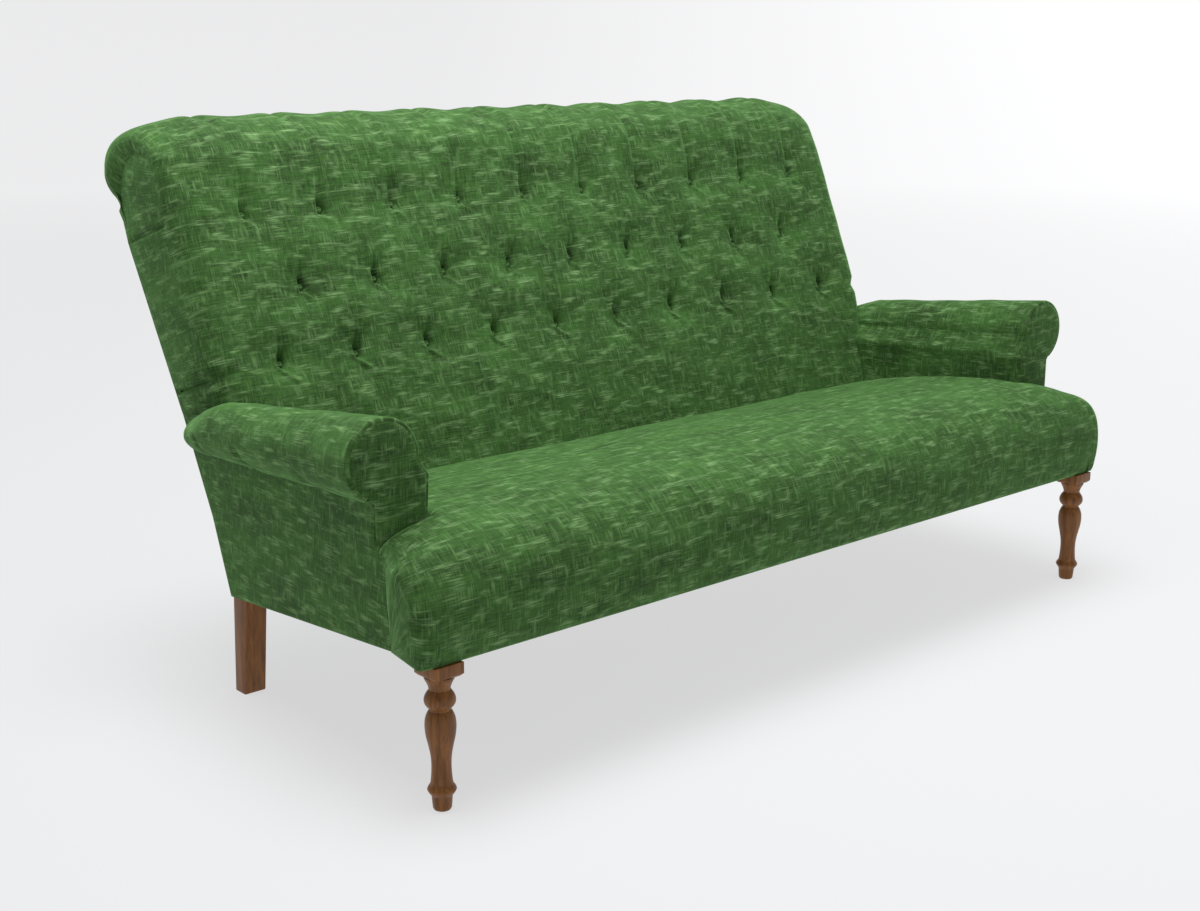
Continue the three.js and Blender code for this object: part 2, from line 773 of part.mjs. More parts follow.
bothSides((side, name) => {
  const panel = sidePrism(
    [
      [armFrontY, underLine(armFrontY)],
      [rearY, underLine(rearY)],
      [rearLine(sideRearTopZ), sideRearTopZ],
      [postLine(sideRearTopZ) - fit, sideRearTopZ],
      [armFrontY, rollUnderside(armFrontY)],
    ],
    sideX - sideThick,
    sideX,
  );
  add(`outside_arm_panel_${name}`, mirrored(leaning(panel), side), cloth);
  const low = sideRearTopZ + fit;
  const high = scrollHemZ - fit;
  const border = sidePrism(
    [
      [postLine(low), low],
      [rearLine(low), low],
      [rearLine(rakeBendZ), rakeBendZ],
      [rearLine(high), high],
      [postLine(high), high],
      [postLine(rakeBendZ), rakeBendZ],
    ],
    rearHalf + fit,
    backHalfWidth,
  );
  add(`back_side_border_${name}`, mirrored(border, side), cloth);
});

// Seat pad: a bullnose bench that runs in front of the arms, with falling ends

function seatTop(y) {
  const share = Math.max(0, (y - seatCrownY) / (seatRearY - seatCrownY));
  return seatTopZ - seatFall * share ** seatFallPower;
}

// How far the surface is drawn in near an end, for a corner of the given width and depth.
function drawnIn(x, halfWidth, width, depth) {
  const share = Math.max(0, (Math.abs(x) - (halfWidth - width)) / width);
  return depth * (1 - Math.sqrt(Math.max(0, 1 - share * share)));
}

function seatRing(x) {
  const hem = drawnIn(x, halfWidth, seatHemCorner, seatHemCorner);
  const face = drawnIn(x, halfWidth, seatFaceCorner, seatFaceCorner);
  const fall = drawnIn(x, halfWidth, seatShoulder, seatEndDrop);
  const points = [
    [-seatHemY + hem, railBottom],
    [-seatBulge + face, seatNoseZ],
  ];
  const noseSteps = 6;
  const noseMidZ = seatTop(0) - noseRadius;
  for (let i = 0; i <= noseSteps; i++) {
    const angle = rad((90 * i) / noseSteps);
    const y = noseRadius * (1 - Math.cos(angle)) - seatBulge + mix(face, 0, i / noseSteps);
    const z = noseMidZ + noseRadius * Math.sin(angle) - fall * Math.sin(angle);
    points.push([y, z]);
  }
  const topSteps = 7;
  for (let i = 1; i <= topSteps; i++) {
    const y = mix(noseRadius - seatBulge, seatRearY, i / topSteps);
    points.push([y, seatTop(y) - fall]);
  }
  points.push([seatRearY, railBottom]);
  return points.map(([y, z]) => new THREE.Vector3(x, y, z));
}

function seatPad() {
  const xs = [];
  const level = halfWidth - seatShoulder;
  const levelSteps = Math.round((2 * level) / seatStation);
  for (let i = 0; i <= levelSteps; i++) xs.push(mix(-level, level, i / levelSteps));
  const ends = seatEndShares.map((share) => level + share * seatShoulder);
  const stations = [...ends.map((x) => -x).reverse(), ...xs, ...ends];
  const form = loft(stations.map(seatRing), (p) => new THREE.Vector2(p.y, p.z));
  const half = halfWidth + overrun;
  const rear = seatRearY + overrun;
  const armSpace = (side) =>
    mirrored(box(seatInnerHalf, half, armFrontY - fit, rear, 0, seatTopZ + overrun), side);
  const core = box(
    -frameHalfWidth - fit,
    frameHalfWidth + fit,
    frontFaceY,
    seatRearY + overrun,
    railBottom - overrun,
    seatPadBottomZ,
  );
  return cut(form, armSpace(-1), armSpace(1), core);
}

add("seat_pad", seatPad(), cloth);

// Back pad: deep buttoned in three staggered rows, with pleats over the scroll

function buttonPlaces() {
  return buttonRowZ.flatMap((z, row) =>
    Array.from({ length: buttonRowCount[row] }, (_, i) => ({
      x: (i - (buttonRowCount[row] - 1) / 2) * buttonPitch,
      z,
      row,
    })),
  );
}
const buttons = buttonPlaces();
const folds = buttons.flatMap((a) =>
  buttons
    .filter((b) => b.row === a.row + 1 && Math.abs(b.x - a.x) < buttonPitch)
    .map((b) => ({ a, b })),
);

function toFold(x, z, { a, b }) {
  const dx = b.x - a.x;
  const dz = b.z - a.z;
  const along = THREE.MathUtils.clamp(((x - a.x) * dx + (z - a.z) * dz) / (dx * dx + dz * dz), 0, 1);
  return Math.hypot(x - a.x - along * dx, z - a.z - along * dz);
}

const bell = (distance, width) => Math.exp(-((distance / width) ** 2));

// Depth of the buttoning at x and height z on the front face.
function buttoning(x, z) {
  const away = Math.min(...buttons.map((b) => Math.hypot(x - b.x, z - b.z)));
  const well = buttonDepth * bell(away, buttonSpread);
  const lines = folds.map((fold) => foldDepth * bell(toFold(x, z, fold), foldWidth));
  return well + Math.max(...lines) * (1 - well / buttonDepth);
}

// Depth of the pleats that run up from the top row, and down from the bottom row.
function pleat(x, row, share) {
  const near = Math.min(...buttons.filter((b) => b.row === row).map((b) => Math.abs(x - b.x)));
  return pleatDepth * share * bell(near, foldWidth);
}

function backRing(x) {
  const draw = (depth) => (depth > 0 ? drawnIn(x, backHalfWidth, depth, depth) : 0);
  const normal = new THREE.Vector2(-Math.cos(rad(frontRake)), Math.sin(rad(frontRake)));
  const points = [];
  const [low, middle, high] = buttonRowZ;
  const rise = (high - middle) / 3;
  const heights = [
    backFootZ,
    ...footShares.map((share) => mix(backFootZ, low, share)),
    low,
    low + rise,
    middle - rise,
    middle,
    middle + rise,
    high - rise,
    high,
    scrollStartZ,
  ];
  for (const z of heights) {
    const lower = z < low ? pleat(x, 0, ((z - backFootZ) / (low - backFootZ)) * footPleatShare) : 0;
    const upper = z > high ? pleat(x, 2, 1) : 0;
    const depth = draw(backEdge) + Math.max(buttoning(x, z), lower, upper);
    const edge = z <= backFootZ ? draw(backEdge) : depth;
    points.push([frontLine(z) - edge * normal.x, z > backFootZ ? z - edge * normal.y : z]);
  }
  const arc = (centre, ry, rz, from, to, steps, depths) => {
    for (let i = 1; i <= steps; i++) {
      const angle = rad(mix(from, to, i / steps));
      const fade = Math.max(0, 1 - (180 - mix(from, to, i / steps)) / pleatFade);
      const depth = draw(mix(...depths, i / steps)) + pleat(x, 2, fade);
      const y = centre[0] + (ry - depth) * Math.cos(angle);
      points.push([y, centre[1] + (rz - depth) * Math.sin(angle)]);
    }
  };
  const startY = frontLine(scrollStartZ);
  const hemY = rearLine(scrollHemZ);
  const up = scrollTopZ - scrollStartZ;
  const over = scrollTopZ - scrollRearZ;
  const under = scrollRearZ - scrollHemZ;
  const behind = scrollRearY - scrollTopY;
  arc([scrollTopY, scrollStartZ], scrollTopY - startY, up, 180, 90, 5, [backEdge, backTopEdge]);
  arc([scrollTopY, scrollRearZ], behind, over, 90, 0, 4, [backTopEdge, backRearEdge]);
  arc([hemY, scrollRearZ], scrollRearY - hemY, under, 0, -90, 3, [backRearEdge, 0]);
  for (const z of [scrollHemZ, rakeBendZ, backFootZ]) points.push([padBackLine(z), z]);
  return points.map(([y, z]) => new THREE.Vector3(x, y, z));
}

function backPad() {
  const quarter = buttonPitch / 4;
  const count = 2 * buttonRowCount[0];
  const xs = [];
  for (let i = -count; i <= count; i++) xs.push(i * quarter);
  const level = count * quarter;
  const ends = backEndShares.map((share) => mix(level, backHalfWidth, share));
  const stations = [...ends.map((x) => -x).reverse(), ...xs, ...ends];
  const form = loft(stations.map(backRing), (p) => new THREE.Vector2(p.y, p.z));
  const headOutline = [
    [padBackLine(scrollHemZ - overrun), scrollHemZ - overrun],
    [rearLine(scrollHemZ - overrun) - panelThick, scrollHemZ - overrun],
    [rearLine(postTopZ) - panelThick, postTopZ + fit],
    [padBackLine(postTopZ), postTopZ + fit],
  ];
  const half = backHalfWidth - sideWall;
  const head = sidePrism(headOutline, -half, half);
  const outside = backHalfWidth + overrun;
  const rollSpace = (side) =>
    mirrored(box(backLowerHalf, outside, 0, scrollRearY, 0, backNotchZ), side);
  return cut(form, head, rollSpace(-1), rollSpace(1));
}

add("back_pad", backPad(), cloth);

// Dust cloth across the underside, inside the rails

const dustFront = frontRailRear + fit;
const dustRear = postLine(underLine(rearY)) - fit;
const dustEnd = (y) => {
  const half = Math.min(betweenPosts, sideRailOuter(y) - boardThick - fit);
  return [-half, half, underLine(y) + fit, underLine(y) + fit + dustThick];
};
add("dust_cloth", boardAlongY(dustEnd, dustFront, sideFrontY, dustRear), clothDark);

// The origin goes on the floor under the middle of the finished form.
const bounds = new THREE.Box3().setFromObject(sofa);
sofa.position.y = -(bounds.min.y + bounds.max.y) / 2;
const group = new THREE.Group();
group.add(sofa);
export default group;
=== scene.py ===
# High-back sofa in slubbed green velvet: a raked buttoned back that rolls over at the top,
# scroll arms, a fixed bullnose seat, turned front legs and plain raked rear legs.
import math

import bpy
import numpy as np
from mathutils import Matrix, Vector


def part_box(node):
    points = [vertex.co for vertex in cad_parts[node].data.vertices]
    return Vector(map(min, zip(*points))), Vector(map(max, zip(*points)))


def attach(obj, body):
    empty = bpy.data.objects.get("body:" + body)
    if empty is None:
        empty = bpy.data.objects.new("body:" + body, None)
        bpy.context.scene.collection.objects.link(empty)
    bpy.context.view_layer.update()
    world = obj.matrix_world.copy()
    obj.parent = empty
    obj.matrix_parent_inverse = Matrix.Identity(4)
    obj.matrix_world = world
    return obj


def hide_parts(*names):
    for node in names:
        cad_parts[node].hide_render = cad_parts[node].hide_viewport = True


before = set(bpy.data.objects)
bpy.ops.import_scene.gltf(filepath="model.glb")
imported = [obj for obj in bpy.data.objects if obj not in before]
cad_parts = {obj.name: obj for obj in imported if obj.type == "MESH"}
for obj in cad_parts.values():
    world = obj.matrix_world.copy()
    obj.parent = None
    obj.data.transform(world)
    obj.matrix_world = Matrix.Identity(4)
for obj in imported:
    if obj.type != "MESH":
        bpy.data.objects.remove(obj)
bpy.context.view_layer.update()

# Camera: a 50 mm lens that looks down on the left front corner of the sofa, as in the photograph.
# The cover's depths are measured back from the front legs' centre line, and LEG_LINE is how far that
# line stands in front of the frame's origin.
CAMERA_PLACE = (-2.2434, -1.9108, 1.1396)
CAMERA_DOWN = math.radians(13.902)
CAMERA_TURN = math.radians(-41.964)


def centre_of(node):
    low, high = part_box(node)
    return [(a + b) / 2 for a, b in zip(low, high)]


LEG_LINE = -centre_of("front_leg_left")[1]
camera_data = bpy.data.cameras.new("camera")
camera_data.lens = 50.0
camera_data.sensor_width = 36.0
camera = bpy.data.objects.new("camera", camera_data)
camera.location = (CAMERA_PLACE[0], CAMERA_PLACE[1] - LEG_LINE, CAMERA_PLACE[2])
camera.rotation_euler = (math.pi / 2 - CAMERA_DOWN, 0, CAMERA_TURN)
bpy.context.collection.objects.link(camera)
bpy.context.scene.camera = camera

# Floor and light: a pale seamless floor that rises far behind the sofa. It carries painted light: it glows a
# little, more to the right and to the rear, which lightens the floor and the shadow under the seat. One
# broad lamp high overhead makes the seat's top the brightest cloth, a small one near the camera fills the
# front, and the shadow under the seat stays soft.
FLOOR_SIZE = 60
FLOOR_FLAT = 11  # radius of the flat part
FLOOR_SLOPE = 16  # length of the rise beyond it
FLOOR_RISE = 5.0
TO_THE_RIGHT = (0.744, -0.669, 0.0)  # along the floor, from left to right in the picture
WORLD_STRENGTH = 0.28
NEAR_LAMP = {"place": (-0.5, -0.2, 1.85), "aim": (0.5, 0.2, 0.4), "size": 1.3, "power": 10}
HIGH_LAMP = {"place": (-0.4, 0.45, 8.0), "aim": (0.2, 0.0, 0.4), "size": 4.5, "power": 690}


def linear(code):
    """An sRGB hex value as linear RGBA."""
    parts = [int(code[i:i + 2], 16) / 255 for i in (1, 3, 5)]
    return [c / 12.92 if c <= 0.04045 else ((c + 0.055) / 1.055) ** 2.4 for c in parts] + [1.0]


def add_node(material, kind, links=None, **settings):
    """Adds a node, sets its properties and socket values, and links its inputs."""
    tree = material.node_tree
    new = tree.nodes.new(kind)
    for key, value in settings.items():
        if key[0] == "_":
            setattr(new, key[1:], value)
        else:
            new.inputs[key.replace("_", " ")].default_value = value
    for socket, source in (links or {}).items():
        tree.links.new(source, new.inputs[socket])
    return new


def new_material(name):
    material = bpy.data.materials.new(name)
    material.use_nodes = True
    return material, material.node_tree.nodes["Principled BSDF"]


def deselect():
    if bpy.context.object and bpy.context.object.mode != "OBJECT":
        bpy.ops.object.mode_set(mode="OBJECT")
    bpy.ops.object.select_all(action="DESELECT")


def ease(value):
    """0 to 1 with soft ends."""
    share = np.clip(value, 0, 1)
    return share * share * (3 - 2 * share)


deselect()
bpy.ops.mesh.primitive_grid_add(x_subdivisions=80, y_subdivisions=80, size=FLOOR_SIZE)
floor = bpy.context.object
floor.name = "floor"
for vertex in floor.data.vertices:
    vertex.co.z = FLOOR_RISE * ease((vertex.co.to_2d().length - FLOOR_FLAT) / FLOOR_SLOPE)
bpy.ops.object.shade_smooth()
floor_finish, floor_shader = new_material("pale_floor_painted_glow")
# Painted light: the floor's emission glows brighter to the right and to the rear and lightens the shadow
# under the sofa.
floor_place = add_node(floor_finish, "ShaderNodeTexCoord")
floor_across = add_node(floor_finish, "ShaderNodeVectorMath", {0: floor_place.outputs["Object"]},
                        _operation="DOT_PRODUCT")
floor_across.inputs[1].default_value = TO_THE_RIGHT
right_glow = add_node(floor_finish, "ShaderNodeMapRange", {"Value": floor_across.outputs["Value"]},
                      From_Min=-2.0, From_Max=5.0, To_Min=0.59, To_Max=0.77)
floor_away = add_node(floor_finish, "ShaderNodeVectorMath", {0: floor_place.outputs["Object"]},
                      _operation="LENGTH")
far_glow = add_node(floor_finish, "ShaderNodeMapRange", {"Value": floor_away.outputs["Value"]},
                    From_Min=1.5, From_Max=11.0, To_Min=0.0, To_Max=0.18)
floor_glow = add_node(floor_finish, "ShaderNodeMath", {0: right_glow.outputs[0], 1: far_glow.outputs[0]},
                      _operation="ADD")
floor_finish.node_tree.links.new(floor_glow.outputs[0], floor_shader.inputs["Emission Strength"])
floor_shader.inputs["Emission Color"].default_value = linear("#fefeff")
floor_shader.inputs["Base Color"].default_value = linear("#757677")
floor_shader.inputs["Roughness"].default_value = 0.95
floor_shader.inputs["Specular IOR Level"].default_value = 0.0
floor.data.materials.append(floor_finish)

world = bpy.data.worlds.new("studio")
world.use_nodes = True
world.node_tree.nodes["Background"].inputs["Color"].default_value = linear("#fcfcfd")
world.node_tree.nodes["Background"].inputs["Strength"].default_value = WORLD_STRENGTH
bpy.context.scene.world = world


def lamp(name, place, aim, size, power):
    data = bpy.data.lights.new(name, "AREA")
    data.size = size
    data.energy = power
    light = bpy.data.objects.new(name, data)
    light.location = place
    spread = [a - p for a, p in zip(aim, place)]
    light.rotation_euler = (
        math.atan2(math.hypot(spread[0], spread[1]), -spread[2]),
        0,
        math.atan2(spread[1], spread[0]) - math.pi / 2,
    )
    bpy.context.collection.objects.link(light)


lamp("near_lamp", **NEAR_LAMP)
lamp("high_lamp", **HIGH_LAMP)
bpy.context.scene.view_settings.view_transform = "Standard"

# Front legs: turned from one piece of stained hardwood, with a square block left at the top.
# The turning has a cove, a ball, a long vase and a ringed foot; each leg screws up into the rail.
LEG_RADIUS = 0.0246
BLOCK_BOTTOM = 0.217
BLOCK_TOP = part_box("front_leg_left")[1][2]
BLOCK_HALF = 0.027
LEG_SIDES = 48
BLOCK_CHAMFER = 0.0045
EASED_EDGE = 0.0007
SIDES = {"left": -1, "right": 1}
LEG_PROFILE = [
    (0.530, 0.000), (0.585, 0.008), (0.620, 0.040), (0.675, 0.105), (0.780, 0.122), (0.905, 0.145),
    (0.915, 0.160), (0.800, 0.182), (0.715, 0.200), (0.650, 0.270), (0.630, 0.340), (0.670, 0.410),
    (0.800, 0.490), (0.935, 0.560), (0.990, 0.630), (0.940, 0.690), (0.780, 0.735), (0.655, 0.752),
    (0.660, 0.758), (0.840, 0.778), (0.970, 0.802), (1.000, 0.828), (0.940, 0.856), (0.790, 0.884),
    (0.680, 0.900), (0.680, 0.908), (0.740, 0.935), (0.860, 0.965), (0.960, 0.985), (0.975, 1.000),
]  # radius and height, as shares of LEG_RADIUS and BLOCK_BOTTOM


def arc_length(points):
    return np.concatenate([[0], np.cumsum(np.linalg.norm(np.diff(points, axis=0), axis=1))])


def smooth(points, count):
    """A Catmull-Rom curve through the points, as count points evenly spaced along it."""
    p = np.array(points, float)
    p = np.vstack([2 * p[0] - p[1], p, 2 * p[-1] - p[-2]])
    t = np.linspace(0, 1, 24, endpoint=False)[:, None]
    run = []
    for a, b, c, d in zip(p, p[1:], p[2:], p[3:]):
        square, cube = 2 * a - 5 * b + 4 * c - d, 3 * b - a - 3 * c + d
        run.append(0.5 * (2 * b + (c - a) * t + square * t**2 + cube * t**3))
    run = np.vstack(run + [p[-2][None]])
    gone = arc_length(run)
    at = np.linspace(0, gone[-1], count)
    return np.stack([np.interp(at, gone, run[:, k]) for k in range(p.shape[1])], 1)


def wood_material(name, pale, dark):
    """Stained hardwood: long vertical grain and short dark pores under a satin coat."""
    material, shader = new_material(name)
    place = add_node(material, "ShaderNodeTexCoord")
    stretch = add_node(material, "ShaderNodeMapping", {"Vector": place.outputs["Object"]}, Scale=(70, 70, 5))
    grain = add_node(material, "ShaderNodeTexNoise", {"Vector": stretch.outputs[0]}, Scale=1.6, Detail=6.0,
                     Roughness=0.62, Distortion=0.5)
    tone = add_node(material, "ShaderNodeValToRGB", {"Fac": grain.outputs[0]})
    tone.color_ramp.elements[0].position = 0.33
    tone.color_ramp.elements[0].color = linear(dark)
    tone.color_ramp.elements[1].position = 0.66
    tone.color_ramp.elements[1].color = linear(pale)
    pores = add_node(material, "ShaderNodeMapping", {"Vector": place.outputs["Object"]},
                     Scale=(520, 520, 22))
    specks = add_node(material, "ShaderNodeTexNoise", {"Vector": pores.outputs[0]}, Scale=1.0, Detail=2.0)
    marks = add_node(material, "ShaderNodeValToRGB", {"Fac": specks.outputs[0]})
    marks.color_ramp.elements[0].position = 0.3
    marks.color_ramp.elements[0].color = (0.55, 0.5, 0.45, 1)
    marks.color_ramp.elements[1].position = 0.42
    marks.color_ramp.elements[1].color = (1, 1, 1, 1)
    both = add_node(material, "ShaderNodeMixRGB", {"Color1": tone.outputs[0], "Color2": marks.outputs[0]},
                    _blend_type="MULTIPLY", Fac=0.55)
    material.node_tree.links.new(both.outputs[0], shader.inputs["Base Color"])
    gloss = add_node(material, "ShaderNodeMapRange", {"Value": grain.outputs[0]}, To_Min=0.34, To_Max=0.5)
    material.node_tree.links.new(gloss.outputs[0], shader.inputs["Roughness"])
    bump = add_node(material, "ShaderNodeBump", {"Height": specks.outputs[0]}, Strength=0.18,
                    Distance=0.0006)
    material.node_tree.links.new(bump.outputs[0], shader.inputs["Normal"])
    shader.inputs["Specular IOR Level"].default_value = 0.25
    shader.inputs["Coat Weight"].default_value = 0.04
    shader.inputs["Coat Roughness"].default_value = 0.3
    return material


stained_beech = wood_material("stained_turned_beech", "#8a5a2c", "#5f3b1b")


def finish_piece(piece, material, body_slot, *nodes):
    """Gives a finished piece its material and its body, and hides the nodes it stands for. body_slot is not
    used.
    """
    piece.data.materials.clear()
    piece.data.materials.append(material)
    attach(piece, "root")
    if nodes:
        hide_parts(*nodes)


def turned_leg(name, node, x, y):
    deselect()
    profile = smooth([(r * LEG_RADIUS, z * BLOCK_BOTTOM) for r, z in LEG_PROFILE], 72)
    bpy.ops.mesh.primitive_circle_add(vertices=LEG_SIDES, radius=profile[0][0], fill_type="NGON",
                                      location=(x, y, 0))
    leg = bpy.context.object
    leg.name = name
    bpy.ops.object.mode_set(mode="EDIT")
    bpy.ops.mesh.select_all(action="SELECT")
    for low, high in zip(profile, profile[1:]):
        bpy.ops.mesh.extrude_region_move(TRANSFORM_OT_translate={"value": (0, 0, high[1] - low[1])})
        grow = high[0] / low[0]
        bpy.ops.transform.resize(value=(grow, grow, 1), center_override=(x, y, high[1]))
    bpy.ops.object.mode_set(mode="OBJECT")
    bpy.ops.object.transform_apply(location=True, rotation=True, scale=True)
    bpy.ops.mesh.primitive_cube_add(size=1, location=(x, y, (BLOCK_BOTTOM + BLOCK_TOP) / 2))
    block = bpy.context.object
    block.dimensions = (2 * BLOCK_HALF, 2 * BLOCK_HALF, BLOCK_TOP - BLOCK_BOTTOM)
    bpy.ops.object.transform_apply(location=True, rotation=True, scale=True)
    bpy.ops.object.mode_set(mode="EDIT")
    bpy.ops.mesh.select_all(action="DESELECT")
    bpy.ops.object.mode_set(mode="OBJECT")
    for edge in block.data.edges:
        edge.select = all(block.data.vertices[i].co.z < BLOCK_BOTTOM + 0.001 for i in edge.vertices)
    bpy.ops.object.mode_set(mode="EDIT")
    bpy.ops.mesh.select_mode(type="EDGE")
    bpy.ops.mesh.bevel(offset=BLOCK_CHAMFER, segments=1)
    bpy.ops.mesh.select_all(action="SELECT")
    bpy.ops.mesh.bevel(offset=EASED_EDGE, segments=2)
    bpy.ops.object.mode_set(mode="OBJECT")
    leg.select_set(True)
    bpy.context.view_layer.objects.active = leg
    bpy.ops.object.join()
    bpy.ops.object.shade_smooth_by_angle(angle=math.radians(38))
    finish_piece(leg, stained_beech, "stained_wood", node)


for side in SIDES:
    middle = centre_of(f"front_leg_{side}")
    turned_leg(f"turned_leg_{side}", f"front_leg_{side}", middle[0], middle[1])

# Rear legs: plain square hardwood legs that splay a little to the rear and get deeper at the top.
# Each is sawn with a sloped top that meets the frame, and its edges are eased. The corners are those
# of the leg's own node.
REAR_LEG_EDGE = 0.0022
REAR_LEG_MIDDLE = 0.15  # the top corners are all above this height


def lean_box(corners, name, bevel):
    """A cube whose eight corners go to the given places, lower four first, with eased edges."""
    deselect()
    bpy.ops.mesh.primitive_cube_add(size=2)
    piece = bpy.context.object
    piece.name = name
    for vertex in piece.data.vertices:
        a = vertex.co
        vertex.co = corners[(4 if a.z > 0 else 0) + (2 if a.y > 0 else 0) + (1 if a.x > 0 else 0)]
    bpy.ops.object.mode_set(mode="EDIT")
    bpy.ops.mesh.select_all(action="SELECT")
    bpy.ops.mesh.bevel(offset=bevel, segments=2)
    bpy.ops.object.mode_set(mode="OBJECT")
    bpy.ops.object.shade_smooth_by_angle(angle=math.radians(38))
    return piece


for side in SIDES:
    low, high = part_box(f"rear_leg_{side}")
    spots = np.array([v.co[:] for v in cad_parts[f"rear_leg_{side}"].data.vertices])
    foot = spots[spots[:, 2] < 0.001]
    top = spots[spots[:, 2] > REAR_LEG_MIDDLE]
    corners = [(x, y, 0.0) for y in (foot[:, 1].min(), foot[:, 1].max()) for x in (low.x, high.x)]
    for y in (top[:, 1].min(), top[:, 1].max()):
        z = top[np.argmin(abs(top[:, 1] - y)), 2]
        corners += [(x, y, z) for x in (low.x, high.x)]
    leg = lean_box(corners, f"square_leg_{side}", REAR_LEG_EDGE)
    finish_piece(leg, stained_beech, "stained_wood", f"rear_leg_{side}")

# Seat: one fixed pad of foam and springs under a tight velvet cover with a bullnose front edge.
# It runs across the whole width in front of the arms, is tucked down between them behind that,
# and its cover goes under the front rail, where it is stapled.
SEAT_HALF = 0.907
SEAT_INNER_HALF = 0.777  # between the arms
SEAT_LIP_HALF = 0.863  # of the part that is folded in under the front rail
SEAT_UNDER = 0.318
SEAT_HEM = 0.2385
ARM_FRONT = 0.107
SEAT_SEAM = [
    (0.077, 0.240), (0.080, 0.295), (0.081, 0.345), (0.084, 0.372), (0.103, 0.391),
]  # Y and height of the seam at the seat's ends, from the hem up to the arm
SEAT_TOP = [
    (-0.0225, 0.2425), (-0.0265, 0.252), (-0.031, 0.275), (-0.033, 0.300), (-0.0315, 0.330), (-0.024, 0.362),
    (-0.008, 0.391), (0.018, 0.413), (0.055, 0.427), (0.100, 0.4325), (0.148, 0.433), (0.223, 0.428),
    (0.310, 0.417), (0.435, 0.394), (0.524, 0.373), (0.552, 0.365),
]  # Y and height of the cover's outer face, from the hem over the bullnose to the foot of the back


def velvet_material(name, dark, mid, pale):
    """Slubbed cotton velvet. The UV map is in metres along the cloth, so threads keep their width."""
    material, shader = new_material(name)
    place = add_node(material, "ShaderNodeTexCoord")
    threads, slubs = [], []
    for across in (1, 0):
        lie = add_node(material, "ShaderNodeMapping", {"Vector": place.outputs["UV"]},
                       Scale=(22, 420, 1) if across else (420, 26, 1),
                       Location=(7.3 * across, 3.1 * across, 0))
        threads.append(add_node(material, "ShaderNodeTexNoise", {"Vector": lie.outputs[0]}, Scale=1.0,
                                Detail=2.0, Roughness=0.65))
        lie = add_node(material, "ShaderNodeMapping", {"Vector": place.outputs["UV"]},
                       Scale=(23, 66, 1) if across else (84, 34, 1),
                       Location=(2.7 * across, 9.4 * across, 0))
        patches = add_node(material, "ShaderNodeTexNoise", {"Vector": lie.outputs[0]}, Scale=1.0,
                           Detail=2.0, Roughness=0.6)
        shown = add_node(material, "ShaderNodeMapRange", {"Value": patches.outputs[0]}, From_Min=0.50,
                         From_Max=0.71, To_Max=0.36 + 0.36 * across)
        lines = add_node(material, "ShaderNodeMapRange", {"Value": threads[-1].outputs[0]}, From_Min=0.43,
                         From_Max=0.58, To_Min=0.22)
        slubs.append(add_node(material, "ShaderNodeMath", {0: shown.outputs[0], 1: lines.outputs[0]},
                              _operation="MULTIPLY"))
    cloud_lie = add_node(material, "ShaderNodeMapping", {"Vector": place.outputs["UV"]}, Scale=(6, 15, 1))
    cloud = add_node(material, "ShaderNodeTexNoise", {"Vector": cloud_lie.outputs[0]}, Scale=1.0,
                     Detail=3.5, Roughness=0.65)
    cross = add_node(material, "ShaderNodeMath", {0: threads[0].outputs[0], 1: threads[1].outputs[0]},
                     _operation="ADD")
    depth = add_node(material, "ShaderNodeMath", {0: cross.outputs[0], 1: cloud.outputs[0]},
                     _operation="ADD")
    ground = add_node(material, "ShaderNodeMapRange", {"Value": depth.outputs[0]}, From_Min=1.20,
                      From_Max=1.76)
    shade = add_node(material, "ShaderNodeMixRGB", {"Fac": ground.outputs[0]})
    shade.inputs["Color1"].default_value = linear(dark)
    shade.inputs["Color2"].default_value = linear(mid)
    slub = add_node(material, "ShaderNodeMath", {0: slubs[0].outputs[0], 1: slubs[1].outputs[0]},
                    _operation="MAXIMUM")
    colour = add_node(material, "ShaderNodeMixRGB", {"Fac": slub.outputs[0], "Color1": shade.outputs[0]})
    colour.inputs["Color2"].default_value = linear(pale)
    material.node_tree.links.new(colour.outputs[0], shader.inputs["Base Color"])
    bump = add_node(material, "ShaderNodeBump", {"Height": cross.outputs[0]}, Strength=0.3, Distance=0.001)
    material.node_tree.links.new(bump.outputs[0], shader.inputs["Normal"])
    shader.inputs["Roughness"].default_value = 0.85
    shader.inputs["Specular IOR Level"].default_value = 0.15
    shader.inputs["Sheen Weight"].default_value = 0.5
    shader.inputs["Sheen Roughness"].default_value = 0.4
    shader.inputs["Sheen Tint"].default_value = linear("#8fd07c")
    return material


green_velvet = velvet_material("slubbed_green_velvet", "#233819", "#3f662e", "#7ea26b")


def outward(points):
    """Unit normals on the left of a closed section that is drawn in Y and Z."""
    run = np.vstack([points[1:], points[1]]) - np.vstack([points[-2], points[:-1]])
    run /= np.maximum(np.linalg.norm(run, axis=1, keepdims=True), 1e-9)
    return np.stack([-run[:, 1], run[:, 0]], 1)


def woven_surface(name, places, lie):
    """A grid whose vertices go to places[row, column], with lie[row, column] as its UV map in metres."""
    rows, columns = places.shape[:2]
    deselect()
    bpy.ops.mesh.primitive_grid_add(x_subdivisions=columns - 1, y_subdivisions=rows - 1)
    piece = bpy.context.object
    piece.name = name
    mesh = piece.data
    moved = places.copy()
    moved[..., 1] -= LEG_LINE
    mesh.vertices.foreach_set("co", moved.reshape(-1))
    corner = np.zeros(len(mesh.loops), int)
    mesh.loops.foreach_get("vertex_index", corner)
    mesh.uv_layers.active.data.foreach_set("uv", lie.reshape(-1, 2)[corner].reshape(-1))
    bpy.ops.object.mode_set(mode="EDIT")
    bpy.ops.mesh.select_all(action="SELECT")
    bpy.ops.mesh.remove_doubles(threshold=0.00002)
    bpy.ops.mesh.normals_make_consistent(inside=False)
    bpy.ops.object.mode_set(mode="OBJECT")
    bpy.ops.object.shade_smooth()
    return piece


